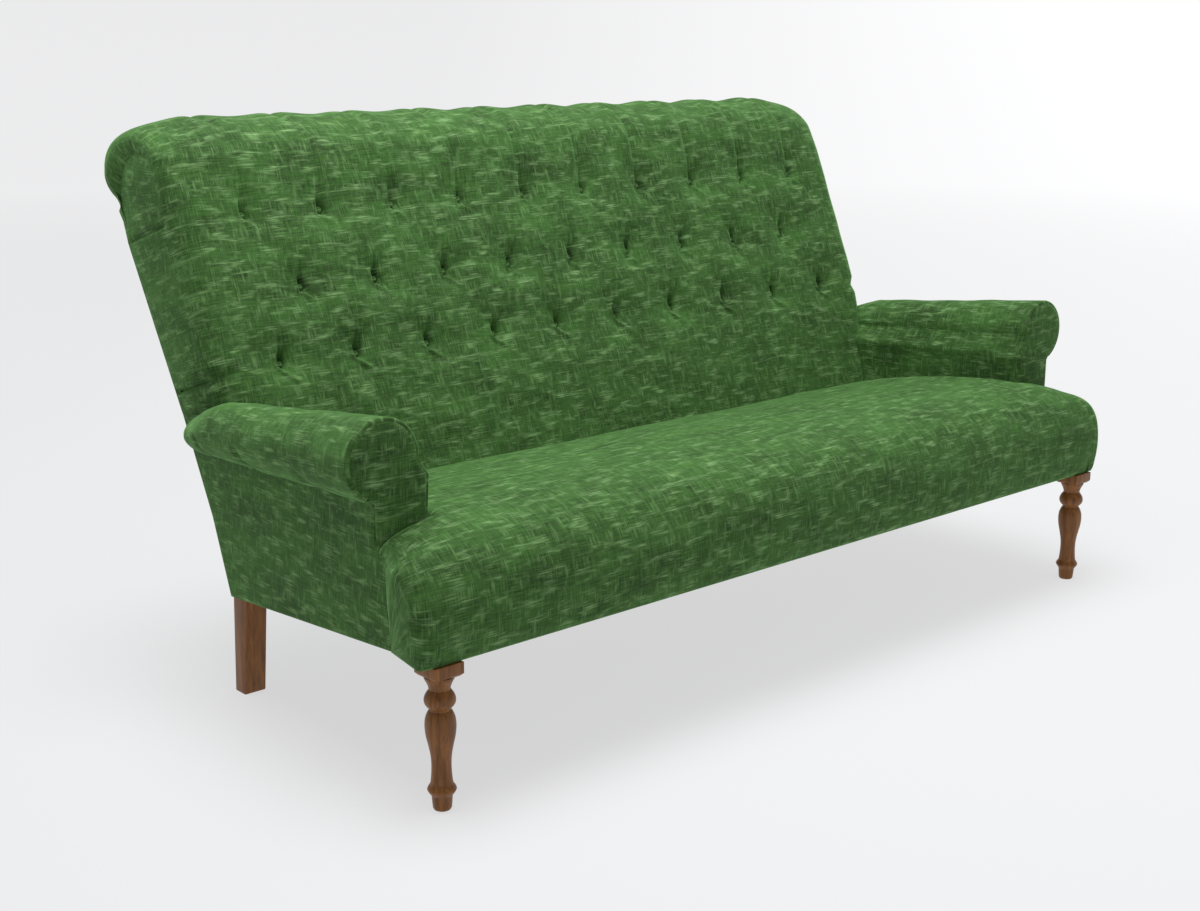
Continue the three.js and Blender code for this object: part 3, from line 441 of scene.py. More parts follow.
def wrapped(section, half, corner, drop, hub, shares, counts, relief=None, puff=None):
    """A cover laid over a closed section from side to side and round its two ends.

    half, corner, drop and hub have one value for each point of the section: the half width, the
    corner's radius across, how far it goes in, and the place inside the end where the cover meets.
    The UV map is the way along the cloth, and relief fades out round the corners.
    """
    bend, end = counts
    gone = arc_length(section)
    columns = []
    for share in shares:
        columns.append((share * (half - corner), section, share * (half - corner), 1.0))
    for turn in np.linspace(0, math.pi / 2, bend + 1)[1:]:
        spot = section - drop * (1 - math.cos(turn))
        columns.append((half - corner * (1 - math.sin(turn)), spot, half - corner + corner * turn,
                        math.cos(turn)))
    edge_x, edge, edge_u, _ = columns[-1]
    for share in np.linspace(0, 1, end + 1)[1:]:
        spot = edge + (hub[:, 1:] - edge) * share
        away = edge_u + np.linalg.norm(spot - edge, axis=1)
        out = puff(share) if puff else 0
        columns.append((edge_x + (hub[:, 0] - edge_x) * share + out, spot, away, 0.0))
    right = np.stack([np.stack([x, p[:, 0], p[:, 1]], 1) for x, p, _, _ in columns], 1)
    lie = np.stack([np.stack([u, gone], 1) for _, _, u, _ in columns], 1)
    fade = np.array([f for _, _, _, f in columns])
    left, left_lie = right[:, :0:-1] * [-1, 1, 1], lie[:, :0:-1] * [-1, 1]
    places = np.concatenate([left, right], 1)
    lie = np.concatenate([left_lie, lie], 1)
    fade = np.concatenate([fade[:0:-1], fade])
    if relief:
        rise = relief(places, lie) * fade
        normal = outward(section)
        places[..., 1] += rise * normal[:, None, 0]
        places[..., 2] += rise * normal[:, None, 1]
    return places, lie


def seat_cover():
    top = smooth(SEAT_TOP, 110)
    behind = top[:, 0] > ARM_FRONT
    rear = np.array([(0.5525, z) for z in np.linspace(0.36, SEAT_UNDER + 0.002, 5)])
    under = np.stack([top[behind][::-1, 0], np.full(behind.sum(), SEAT_UNDER)], 1)
    lip = np.array([(-0.0160, SEAT_UNDER), (-0.0160, 0.28), (-0.0160, 0.2412), (0.012, 0.2405),
                    (0.0125, SEAT_HEM), (-0.0165, SEAT_HEM), (-0.0205, 0.2398)])
    section = np.vstack([top, rear, under, lip, top[:1]])
    count = len(section)
    outer = np.zeros(count, bool)
    outer[:len(top)] = ~behind
    outer[-2:] = True
    inner = np.zeros(count, bool)
    inner[len(top) + len(rear) + len(under):-2] = True
    y, z = section.T
    # The ends are tight at the hem and fuller above it, and slope away in a long shoulder on top.
    rise = ease((z - 0.25) / 0.06)
    shoulder = ease((y + 0.028) / 0.075) * (z > 0.33)
    face = (0.018 + 0.010 * rise) * (1 - shoulder)
    corner = np.where(outer, face + 0.150 * shoulder, 0.016)
    inset = np.where(outer, face + (0.048 - 0.005 * ease(y / 0.1)) * shoulder, 0.014)
    half = np.where(outer, SEAT_HALF - 0.008 * (1 - rise) - 0.026 * ease(y / 0.10), SEAT_INNER_HALF)
    half[inner] = SEAT_LIP_HALF
    seam_share = ease(y / ARM_FRONT) * (len(SEAT_SEAM) - 1) * outer * (z > 0.33)
    seam_y, seam_z = [np.interp(seam_share, range(len(SEAT_SEAM)), part) for part in zip(*SEAT_SEAM)]
    hub = np.stack([np.where(outer, 0.8825 - 0.001 * seam_share, half), seam_y, seam_z], 1)
    between = ~(outer | inner)
    hub[between] = np.stack([half, y, np.full(count, 0.345)], 1)[between]

    def relief(places, lie):
        x, s = lie[..., 0], lie[..., 1]
        top_share = (np.arange(count) < len(top))[:, None]
        soft = 0.0016 * np.sin(x * 5.1 + s * 9) * np.sin(s * 7.3 + 0.8)
        soft += 0.0009 * np.sin(x * 13 + 1.3 + s * 17)
        return soft * top_share * ease((z - 0.243) / 0.03)[:, None]

    drop = outward(section) * inset[:, None]
    drop[:, 1] *= ease((z - 0.244) / 0.03)
    full = 0.005 * outer * ease((z - 0.243) / 0.03)
    return wrapped(section, half, corner, drop, hub, np.linspace(0, 1, 81), (14, 10), relief,
                   lambda share: full * math.sin(math.pi * share))


seat = woven_surface("seat_cover", *seat_cover())
finish_piece(seat, green_velvet, "velvet", "seat_pad")

# Back: a deep-buttoned pad over webbing, raked, with its cover carried over the top into a scroll
# that rolls to the rear. Twines pull the buttons in, the cover folds between them, and pleats run
# from the top row over the scroll. The cover wraps round both ends and has two cut seams there.
BACK_HALF = 0.860
SIDE_ROUND = 0.048  # radius of the cover's turn from the front face to the side
SIDE_HEIGHTS = (0.372, 0.500, 0.540, 0.570, 0.588, 0.606)  # up the front edge of the side
SIDE_HALVES = (0.800, 0.840, 0.850, 0.855, 0.848, 0.860)  # there, with a pinch at the lower seam
FOOT_HEIGHTS = (0.40, 0.46, 0.50)  # up the rear edge of the side, where it is tucked in behind the arm
FOOT_HALVES = (0.800, 0.846)  # at the first two of them
SEAMS = ((0.588, 0.534), (0.850, 0.788))  # heights of the side's seams, at the front and the rear
SEAM_DEPTH = 0.006
SEAM_WIDTH = 0.0032
BACK_FRONT_Y = 0.5195
BACK_FOOT = 0.372
BACK_FACE_TOP = 0.879  # where the straight front face ends and the scroll begins
BACK_RAKE = math.radians(22.3)
BACK_BEND = (0.7331, 0.493)  # Y and height where the rear face gets steeper
REAR_RAKES = (math.radians(22.6), math.radians(30))  # below and above the bend
BACK_SCROLL = [
    (0.729, 0.883), (0.7465, 0.926), (0.766, 0.964), (0.801, 0.992), (0.846, 1.008), (0.890, 1.010),
    (0.930, 1.001), (0.962, 0.984), (0.983, 0.960), (0.992, 0.933), (0.990, 0.910), (0.979, 0.888),
    (0.962, 0.870), (0.945, 0.857), (0.937, 0.846),
]
BACK_CREASE = [
    (0.936, 0.849), (0.931, 0.873), (0.924, 0.891), (0.912, 0.918), (0.898, 0.932), (0.880, 0.944),
    (0.850, 0.951), (0.818, 0.946),
]  # where the rolled end of the scroll is stitched on to the side, from the hem forwards
CREASE_POINTS = 200
BUTTON_PITCH = 0.1606
BUTTON_ROWS = [(0.595, 10), (0.720, 9), (0.850, 10)]  # height of the row and its number of buttons
BUTTON_DEPTH = 0.022
BUTTON_SPREAD = 0.045  # radius of the wide hollow round a button
SLIT_SHARE = 0.42  # of the depth, in the narrow slit that the button sits in
SLIT_WIDTH = 0.0058
SLIT_HEIGHT = 0.0115
GATHER = [
    (-0.001, 0.050), (-0.006, 0.030), (-0.011, 0.012), (-0.010, -0.004), (-0.001, -0.017),
    (0.014, -0.030), (0.028, -0.048),
]  # the ridge of cloth gathered beside a button, from the button's centre
GATHER_HEIGHT = 0.0072
GATHER_WIDTH = 0.0042
GATHER_REACH = 0.048
FOLD_WIDTH = 0.007
FOLD_DEPTH = 0.008
PLEAT_WIDTH = 0.0105
PLEAT_DEPTH = 0.0105
PLEAT_SPREAD = 1.012  # the pleats run out a little to the sides
BUNCH_HEIGHT = 0.003  # how far the cloth bunches up along the pleats


def back_rear(z):
    """The rear face's Y at height z."""
    slope = np.where(np.asarray(z) < BACK_BEND[1], math.tan(REAR_RAKES[0]), math.tan(REAR_RAKES[1]))
    return BACK_BEND[0] + (np.asarray(z) - BACK_BEND[1]) * slope


def back_lie(z):
    """How far up the front cover a height lies."""
    return (z - BACK_FOOT) / math.cos(BACK_RAKE)


buttons = []  # X and the place up the cover of every button
for row_z, number in BUTTON_ROWS:
    for k in range(number):
        buttons.append(((k - (number - 1) / 2) * BUTTON_PITCH, back_lie(row_z)))


def fold(x, s, start, end, width, depth, power=2.6, far=1.0):
    """A soft valley between two places on the cover, deepest at both; far scales it at the end."""
    ax, ay = start
    bx, by = end
    long = math.hypot(bx - ax, by - ay)
    along = ((x - ax) * (bx - ax) + (s - ay) * (by - ay)) / long**2
    off = ((x - ax) * (by - ay) - (s - ay) * (bx - ax)) / long
    inside = np.clip(along, 0, 1)
    ends = 0.1 + 0.9 * abs(2 * inside - 1) ** power * np.where(inside < 0.5, 1, far)
    beyond = np.maximum(np.maximum(-along, along - 1), 0) * long
    return -depth * ends * np.exp(-(off / width) ** 2) * np.exp(-(beyond / width) ** 2)


def back_relief(places, lie):
    x, s = places[..., 0], lie[..., 1]
    rise = np.zeros_like(x)
    for bx, bs in buttons:
        near = (abs(x - bx) < 0.2) & (abs(s - bs) < 0.2)
        off = np.hypot(x[near] - bx, s[near] - bs)
        ridge = np.zeros(off.shape)
        for (ax, ay), (cx, cy) in zip(GATHER, GATHER[1:]):
            long = math.hypot(cx - ax, cy - ay)
            dx, ds = x[near] - bx - ax, s[near] - bs - ay
            along = np.clip((dx * (cx - ax) + ds * (cy - ay)) / long**2, 0, 1)
            beside = np.hypot(dx - along * (cx - ax), ds - along * (cy - ay))
            ridge = np.maximum(ridge, np.exp(-(beside / GATHER_WIDTH) ** 2))
        rise[near] += GATHER_HEIGHT * ridge * np.exp(-(off / GATHER_REACH) ** 2)
        slit = np.exp(-((x[near] - bx) / SLIT_WIDTH) ** 2 - ((s[near] - bs - 0.003) / SLIT_HEIGHT) ** 2)
        hollow = np.exp(-(off / BUTTON_SPREAD) ** 2)
        rise[near] -= BUTTON_DEPTH * (SLIT_SHARE * slit + (1 - SLIT_SHARE) * hollow)
    rows = [[b for b in buttons if abs(b[1] - back_lie(z)) < 0.001] for z, _ in BUTTON_ROWS]
    for lower, upper in zip(rows, rows[1:]):
        for a in lower:
            for b in upper:
                if abs(a[0] - b[0]) < BUTTON_PITCH * 0.6:
                    rise += fold(x, s, a, b, FOLD_WIDTH, FOLD_DEPTH)
    end = back_lie(BACK_SCROLL[0][1]) + 0.30
    for a in rows[2]:
        rise += fold(x, s, a, (a[0] * PLEAT_SPREAD, end), PLEAT_WIDTH, PLEAT_DEPTH, 0.4)
    for a in rows[0]:
        rise += fold(x, s, a, (a[0] * 1.01, -0.02), 0.012, 0.004)
    for a in rows[0] + rows[1]:
        rise += fold(x, s, a, (a[0], a[1] + 0.10), 0.006, FOLD_DEPTH, 1.2, 0.0)
    top_fade = ease((s - back_lie(0.87)) / 0.08) * ease((end + 0.02 - s) / 0.08)
    rise += BUNCH_HEIGHT * np.cos(2 * math.pi * (x / BUTTON_PITCH + 0.5)) * top_fade
    # The stuffing is a little uneven everywhere.
    rise += 0.0012 * np.sin(x * 31 + s * 23) * np.sin(s * 37 - x * 11) * ease(s / 0.1)
    return rise


def closer_at(low, high, places, count, near=0.020, times=1.9):
    """Values from low to high that lie closer together near the given places."""
    fine = np.linspace(low, high, 4000)
    gone = np.cumsum(1 + times * sum(np.exp(-((fine - p) / near) ** 2) for p in places))
    return np.interp(np.linspace(gone[0], gone[-1], count), gone, fine)


def back_cover():
    fine_rows = [row_z for row_z, _ in BUTTON_ROWS] + [SEAMS[0][0]]
    z = closer_at(BACK_FOOT, BACK_FACE_TOP, fine_rows, 120)
    z[abs(z - SEAMS[0][0]).argmin()], z[abs(z - SEAMS[1][0]).argmin()] = SEAMS[0][0], SEAMS[1][0]
    front = np.stack([BACK_FRONT_Y + (z - BACK_FOOT) * math.tan(BACK_RAKE), z], 1)
    over = smooth(BACK_SCROLL, 60)
    down = np.linspace(0.842, 0.385, 18)
    rear = np.stack([back_rear(down) - 0.009, down], 1)
    rear[0] = (over[-1][0] - 0.004, 0.8435)
    under = np.linspace(rear[-1], front[0] + [0.004, -0.002], 8)
    section = np.vstack([front, over, rear, under, front[:1]])
    y, z = section.T
    row = np.arange(len(section))
    gone = arc_length(section)
    hem = len(front) + len(over) - 1
    crest = len(front) + int(np.hypot(over[:, 0] - 0.792, over[:, 1] - 0.976).argmin())
    # The ends are rounded narrowly up the side, broadly over the crest and narrowly again at the hem.
    corner = np.where(row <= hem, SIDE_ROUND + 0.077 * ease((gone - gone[crest] + 0.12) / 0.13), 0.010)
    corner[crest:hem + 1] -= 0.105 * ease((row[crest:hem + 1] - crest - 16) / 24)
    inset = np.minimum(corner, SIDE_ROUND - 0.009 * ease((gone - gone[crest] + 0.12) / 0.12))
    full = ease((row - crest - 6) / 28) * ease((hem - row) / 10)
    half = np.interp(z, SIDE_HEIGHTS, SIDE_HALVES) + 0.008 * full
    # Each row of the side runs from its front edge to the rear line, or to the crease round the scroll.
    rear_z = np.interp(z, (BACK_FOOT, SEAMS[0][0], SEAMS[1][0]), (0.385, SEAMS[0][1], SEAMS[1][1]))
    hub_x = np.interp(rear_z, FOOT_HEIGHTS, (*FOOT_HALVES, BACK_HALF))
    hub = np.stack([hub_x, back_rear(rear_z), rear_z], 1)
    seam_row = int(abs(front[:, 1] - SEAMS[1][0]).argmin())
    crease = np.array([(BACK_HALF, float(back_rear(SEAMS[1][1])), SEAMS[1][1])]
                      + [(BACK_HALF + 0.004 * k / 7 - 0.006, *spot) for k, spot in enumerate(BACK_CREASE)])
    up = (gone - gone[seam_row]) / (gone[crest] - gone[seam_row])
    back_down = (gone[hem] - gone) / (gone[hem] - gone[crest])
    path = smooth(crease, CREASE_POINTS)
    last = CREASE_POINTS - 1
    first = last + 1 - int(CREASE_POINTS * arc_length(np.array(BACK_CREASE))[-1] / arc_length(crease)[-1])
    for k in range(seam_row, hem + 1):
        hub[k] = path[round(up[k] * last) if k <= crest else first + round(back_down[k] * (last - first))]
    after = row > hem
    half[after] = np.interp(z[after], FOOT_HEIGHTS, (*FOOT_HALVES, BACK_HALF - 0.001))
    hub[after] = np.stack([half, y, z], 1)[after]
    seam_rows = [abs(z - front_z) * (row < len(front)) + (row >= len(front)) for front_z, _ in SEAMS]
    groove = sum(SEAM_DEPTH * np.exp(-(distance / SEAM_WIDTH) ** 2) for distance in seam_rows)
    swell = 0.008 * full + 0.004 * ease((crest - row) / 12)

    def puff(share):
        return swell * math.sin(math.pi * min(share, 1.0)) ** 0.7 - groove * (1 - share**8)

    drop = outward(section) * inset[:, None]
    fine_columns = [k * BUTTON_PITCH / 2 / (BACK_HALF - SIDE_ROUND) for k in range(11)]
    shares = closer_at(0, 1, fine_columns, 206, 0.020 / BACK_HALF)
    return wrapped(section, half, corner, drop, hub, shares, (14, 16), back_relief, puff)


back = woven_surface("buttoned_back_cover", *back_cover())
finish_piece(back, green_velvet, "velvet", "back_pad", "back_side_border_left", "back_side_border_right")

# Back buttons: wooden buttons covered in the same velvet, each held deep in the pad by a twine.
# They are domed, 12 mm across, and sit so deep that the cover nearly hides them.
BUTTON_RADIUS = 0.006
BUTTON_HEIGHT_SHARE = 0.5
BUTTON_TILT = math.pi / 2 - BACK_RAKE


def place_on_back(x, s):
    """The place on the unbuttoned front of the back, and the way the cover faces there."""
    z = BACK_FOOT + s * math.cos(BACK_RAKE)
    y = BACK_FRONT_Y + (z - BACK_FOOT) * math.tan(BACK_RAKE) - LEG_LINE
    return np.array([x, y, z]), np.array([0, -math.cos(BACK_RAKE), math.sin(BACK_RAKE)])


deselect()
bpy.ops.mesh.primitive_uv_sphere_add(segments=24, ring_count=12, radius=BUTTON_RADIUS)
button = bpy.context.object
button.name = "back_button_1"
bpy.ops.object.mode_set(mode="EDIT")
bpy.ops.mesh.select_all(action="SELECT")
bpy.ops.transform.resize(value=(1, 1, BUTTON_HEIGHT_SHARE))
bpy.ops.object.mode_set(mode="OBJECT")
for loop, spot in zip(button.data.loops, button.data.uv_layers.active.data):
    spot.uv = button.data.vertices[loop.vertex_index].co.xy
bpy.ops.object.shade_smooth()
button_dome = button.data.copy()
for number, (x, s) in enumerate(buttons, 1):
    if number > 1:
        button = bpy.data.objects.new(f"back_button_{number}", button_dome.copy())
        bpy.context.collection.objects.link(button)
    spot, facing = place_on_back(x, s)
    seat_of_button = spot - facing * (BUTTON_DEPTH + 0.001)
    for vertex in button.data.vertices:
        a, b, c = vertex.co
        vertex.co = (
            seat_of_button[0] + a,
            seat_of_button[1] + b * math.cos(BUTTON_TILT) - c * math.sin(BUTTON_TILT),
            seat_of_button[2] + b * math.sin(BUTTON_TILT) + c * math.cos(BUTTON_TILT),
        )
    finish_piece(button, green_velvet, "velvet")
bpy.data.meshes.remove(button_dome)

# Arms: a stuffed roll over the arm's top rail, thinner towards the back, in one cover with the
# inside face. The cover is tucked down beside the seat, stapled under the roll, and its rear end
# is gathered into a rounded cap behind the back's side.
SIDE_HALF = 0.882  # at the front of the side
SIDE_TAPER = 0.025
SIDE_START = 0.080
SIDE_RUN = 0.527  # length of the side's lower edge, back from SIDE_START
ARM_REAR = 0.664
ARM_END = 0.690  # the tip of the rounded cap
ARM_LOW = 0.345  # the lower edge of the inside face, tucked down beside the seat
ROLL_X = 0.865
ROLL_HEIGHT = (0.531, 0.492)  # of the roll's centre, at the front and the rear
ROLL_RADIUS = (0.068, 0.046)
ROLL_INNER = math.radians(186)
ROLL_SEAM = math.radians(-60)
RIGHT_SWELL = 0.010  # the photo's right arm is this much fuller below the roll, near its front
EDGE = 0.0055  # radius of the cover's turn over its front edge
ARM_TUCKS = [
    ((0.605, 0.489), (0.588, 0.458)), ((0.462, 0.492), (0.440, 0.460)), ((0.270, 0.488), (0.226, 0.464)),
]  # Y and height of the ends of three short creases under the roll, where the cover is pulled down


def side_line(y):
    """The outer face of the side at depth y: the sofa gets a little narrower to the rear."""
    return SIDE_HALF - SIDE_TAPER * (y - SIDE_START) / SIDE_RUN


def side_swell(y, z, sign):
    """How far the outer face stands out of side_line: only on the right arm, above the seat."""
    return RIGHT_SWELL * (sign > 0) * ease((z - 0.36) / 0.05) * ease((0.30 - y) / 0.2)


def roll_at(y):
    """The height of the roll's centre and its radius at depth y."""
    share = (y - ARM_FRONT) / (ARM_REAR - ARM_FRONT)
    height = ROLL_HEIGHT[0] + (ROLL_HEIGHT[1] - ROLL_HEIGHT[0]) * share
    return height, ROLL_RADIUS[0] + (ROLL_RADIUS[1] - ROLL_RADIUS[0]) * share


def arm_outline(y, low, shrink=0.0, arc=44):
    """The arm's section at depth y, from the tuck beside the seat up over the roll to its seam."""
    z, radius = roll_at(min(y, ARM_REAR))
    radius -= shrink
    inner = SEAT_INNER_HALF + 0.002 + shrink
    waist = z - 0.35 * radius
    inner_points = [(inner + 0.004 * math.sin(math.pi * t), low + (waist - 0.012 - low) * t)
                    for t in np.linspace(0, 1, 12)]
    turn = np.linspace(ROLL_INNER, ROLL_SEAM, arc)
    return inner_points + [(ROLL_X + radius * math.cos(a), z + radius * math.sin(a)) for a in turn]


def arm_cover():
    stations = [(ARM_FRONT + 0.0005 + EDGE * (1 - math.cos(t)), EDGE * (1 - math.sin(t)))
                for t in np.linspace(0, math.pi / 2, 6)]
    stations += [(y, 0.0) for y in np.linspace(ARM_FRONT + 0.012, ARM_REAR - 0.012, 110)]
    rings = []
    for y, shrink in stations:
        ring = arm_outline(y, ARM_LOW, shrink)
        seam_z = ring[-1][1]
        ring += [(side_line(y) - 0.012, seam_z + 0.001), (side_line(y) - 0.013, seam_z - 0.004)]
        ring += [(0.815, seam_z - 0.004), (0.800, ARM_LOW)]
        rings.append([(x, y, height) for x, height in ring] + [(ring[0][0], y, ring[0][1])])
    last = np.array(rings[-1])
    middle = np.array([ROLL_X, 0, roll_at(ARM_REAR)[0]])
    reach = ARM_END - last[0][1]
    for turn in np.linspace(0, math.pi / 2, 13)[1:]:
        ring = middle + (last - middle) * [math.cos(turn) ** 0.5, 0, math.cos(turn) ** 0.5]
        ring[:, 1] = last[0][1] + reach * math.sin(turn)
        rings.append(ring)
    first = np.array(rings[0])
    centre = first.mean(0)
    rings.insert(0, centre + (first - centre) * [0.0, 1, 0.0])
    places = np.array(rings)
    around = arc_length(places[20])
    lie = np.stack([np.broadcast_to(places[..., 1].mean(1)[:, None], places.shape[:2]),
                    np.broadcast_to(around, places.shape[:2])], 2)
    x, y, z = places[..., 0].copy(), places[..., 1], places[..., 2].copy()
    # The roll sinks and narrows where it passes beside the back, and is a little uneven on its way.
    sink = np.interp(y, (0.56, 0.62, 0.664, 0.700), (0.0, 0.013, 0.028, 0.045))
    places[..., 2] -= sink * np.clip((z - 0.450) / 0.085, 0, 1)
    places[..., 0] -= np.maximum(x - ROLL_X, 0) * 0.35 * ease((y - 0.57) / 0.13)
    for start, end in ARM_TUCKS:
        places[..., 0] += fold(y, z, start, end, 0.0065, 0.006, 0.3) * ease((x - ROLL_X) / 0.01)
    soft = 0.0012 * np.sin(y * 41 + z * 23) * np.sin(y * 17 + x * 29) * ease((y - 0.15) / 0.1)
    places[..., 0] += soft * (x - ROLL_X) / 0.06
    places[..., 2] += soft * np.clip((z - 0.5) / 0.05, -1, 1)
    return places, lie


arm_places, arm_lie = arm_cover()
for side, sign in SIDES.items():
    arm = woven_surface(f"arm_cover_{side}", arm_places * [sign, 1, 1], arm_lie)
    finish_piece(arm, green_velvet, "velvet", f"arm_pad_{side}")

# Arm front facings: a board cut to the shape of the arm's end, lightly padded, covered in velvet
# and pressed on over the tacked edges of the arm's cover, which leaves a deep seam all round.
FACING_THICK = 0.010
FACING_LOW = 0.250
FACING_CENTRE = (0.838, 0.476)
RIM = 0.0042  # the facing sits this far inside the edge of the arm's cover


def facing_places(sign):
    rear, front = ARM_FRONT + FACING_THICK, ARM_FRONT - 0.002
    steps = [(0.0020, rear), (0.0008, rear - 0.003), (0.0004, front + 0.007), (0.0012, front + 0.0045),
             (0.0036, front + 0.0020), (0.0075, front + 0.0005), (0.014, front)]
    rings = []
    for inset, y in steps:
        outline = arm_outline(ARM_FRONT, FACING_LOW, inset + RIM, 40)
        right = side_line(ARM_FRONT) - 0.0015 - inset
        seam_x, seam_z = outline[-1]
        corner = right + float(side_swell(ARM_FRONT, seam_z, sign))
        outline += [(corner + (seam_x - corner) * (1 - t), seam_z - 0.012 * t)
                    for t in np.linspace(0.2, 1, 5)]
        outline += [(right + float(side_swell(ARM_FRONT, z, sign)), z)
                    for z in np.linspace(seam_z - 0.020, FACING_LOW, 14)]
        rings.append([(x, y, z) for x, z in outline] + [(outline[0][0], y, outline[0][1])])
    last = np.array(rings[-1])
    middle = np.array([FACING_CENTRE[0], last[0, 1] - 0.0012, FACING_CENTRE[1]])
    for share in (0.3, 0.6, 0.85, 1.0):
        rings.append(last + (middle - last) * share)
    rings.insert(0, np.array(rings[0]) * [0, 1, 0] + [FACING_CENTRE[0], 0, FACING_CENTRE[1]])
    places = np.array(rings)
    return places, places[..., [0, 2]].copy()


for side, sign in SIDES.items():
    places, lie = facing_places(sign)
    facing = woven_surface(f"facing_cover_{side}", places * [sign, 1, 1], lie * [sign, 1])
    finish_piece(facing, green_velvet, "velvet", f"arm_facing_{side}")

# Outside arm panels: velvet stretched over the frame from the underside of the roll to the rail,
# hemmed blind along the roll and stapled under the rail. The rear edge follows the raked back.
SIDE_THICK = 0.008
RAIL_BOTTOM = 0.240
REAR_CORNER = (SIDE_START + SIDE_RUN, 0.190)  # Y and height
PANEL_FRONT = [(z, y - 0.001) for y, z in SEAT_SEAM] + [(0.414, 0.115)]
# height and Y of the front edge, up the seam at the seat's end and then behind the facing


def under_line(y):
    """The lower edge of the side at depth y."""
    return RAIL_BOTTOM + (REAR_CORNER[1] - RAIL_BOTTOM) * np.clip((y - SIDE_START) / SIDE_RUN, 0, 1)


def rim_shares(length, near=(0.0012, 0.003, 0.006, 0.012), count=30):
    """Shares from 0 to 1 with closer steps near both ends."""
    close = [0.0] + [n / length for n in near]
    middle = list(np.linspace(close[-1], 1 - close[-1], count))[1:-1]
    return np.array(close + middle + [1 - c for c in reversed(close)])


def rolled_edge(distance, radius=0.004):
    """How far a padded cover drops at a distance from its edge."""
    short = np.clip(1 - distance / radius, 0, 1)
    return radius * (1 - np.sqrt(1 - short**2))


def padded_panel(name, places, lie, inward):
    """A closed panel: the outer face, edges that go inward, and a flat back."""
    body = np.pad(places, ((1, 1), (1, 1), (0, 0)), mode="edge")
    depth = np.ones(body.shape[:2])
    depth[1:-1, 1:-1] = 0
    body = body + depth[..., None] * inward
    panel = woven_surface(name, body, np.pad(lie, ((1, 1), (1, 1), (0, 0)), mode="edge"))
    bpy.ops.object.mode_set(mode="EDIT")
    bpy.ops.mesh.select_all(action="SELECT")
    bpy.ops.mesh.fill_holes(sides=0)
    bpy.ops.mesh.select_all(action="SELECT")
    bpy.ops.mesh.normals_make_consistent(inside=False)
    bpy.ops.object.mode_set(mode="OBJECT")
    bpy.ops.object.shade_smooth_by_angle(angle=math.radians(50))
    return panel


def arm_panel_places(sign):
    across, up = np.meshgrid(rim_shares(0.5, count=40), rim_shares(0.24, count=20))
    front_seam, rear_seam = roll_at(ARM_FRONT), roll_at(ARM_REAR)
    top_front = front_seam[0] - front_seam[1] * math.sin(-ROLL_SEAM)
    top_rear = rear_seam[0] - rear_seam[1] * math.sin(-ROLL_SEAM)
    low_z = under_line(SEAT_SEAM[0][0] + (REAR_CORNER[0] - SEAT_SEAM[0][0]) * across) - 0.001
    high_z = top_front + (top_rear - top_front) * across
    z = low_z + (high_z - low_z) * up
    front_y = np.interp(z, *zip(*PANEL_FRONT))
    y = front_y + (REAR_CORNER[0] + (float(back_rear(top_rear)) - REAR_CORNER[0]) * up - front_y) * across
    rim = np.minimum(np.minimum(across, 1 - across) * 0.5, np.minimum(z - low_z, high_z - z))
    crown = 0.0015 * np.sin(math.pi * across) * np.sin(math.pi * up)
    x = side_line(y) + side_swell(y, z, sign) + crown - rolled_edge(rim)
    return np.stack([x, y, z], 2), np.stack([y, z], 2)


for side, sign in SIDES.items():
    places, lie = arm_panel_places(sign)
    panel = padded_panel(f"outside_arm_cover_{side}", places * [sign, 1, 1], lie, [-sign * SIDE_THICK, 0, 0])
    finish_piece(panel, green_velvet, "velvet", f"outside_arm_panel_{side}")

# Outside back panel: one width of velvet over a thin lining, stretched from the hem under the
# scroll to the rear rail and hemmed blind down both sides.
OUTSIDE_BACK_HALF = 0.853
OUTSIDE_BACK_TOP = BACK_SCROLL[-1][1]
OUTSIDE_BACK_THICK = 0.006


def outside_back_places():
    across, up = np.meshgrid(rim_shares(1.7, count=80), rim_shares(0.66, count=50))
    x = (2 * across - 1) * OUTSIDE_BACK_HALF
    z = REAR_CORNER[1] + (OUTSIDE_BACK_TOP - REAR_CORNER[1]) * up
    rim = np.minimum(OUTSIDE_BACK_HALF - abs(x), np.minimum(z - REAR_CORNER[1], OUTSIDE_BACK_TOP - z))
    crown = 0.003 * np.sin(math.pi * across) * np.sin(math.pi * up)
    y = back_rear(z) + crown - rolled_edge(rim)
    return np.stack([x, y, z], 2), np.stack([x, z * 1.12], 2)


outside_back = padded_panel("outside_back_cover", *outside_back_places(), [0, -OUTSIDE_BACK_THICK, 0])
finish_piece(outside_back, green_velvet, "velvet", "outside_back_panel")

# Dust cloth: thin black non-woven cloth stapled under the rails to close the frame from below.
DUST_SAG = 0.004
DUST_THICK = 0.0006


def dust_places():
    low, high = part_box("dust_cloth")
    across, along = np.meshgrid(np.linspace(0, 1, 60), np.linspace(0, 1, 24))
    x = low.x + (high.x - low.x) * across
    y = low.y + LEG_LINE + (high.y - low.y) * along
    z = under_line(y) - DUST_THICK - DUST_SAG * np.sin(math.pi * across) * np.sin(math.pi * along)
    z += 0.0009 * np.sin(x * 43 + y * 11) * np.sin(math.pi * along)
    return np.stack([x, y, z], 2), np.stack([x, y], 2)


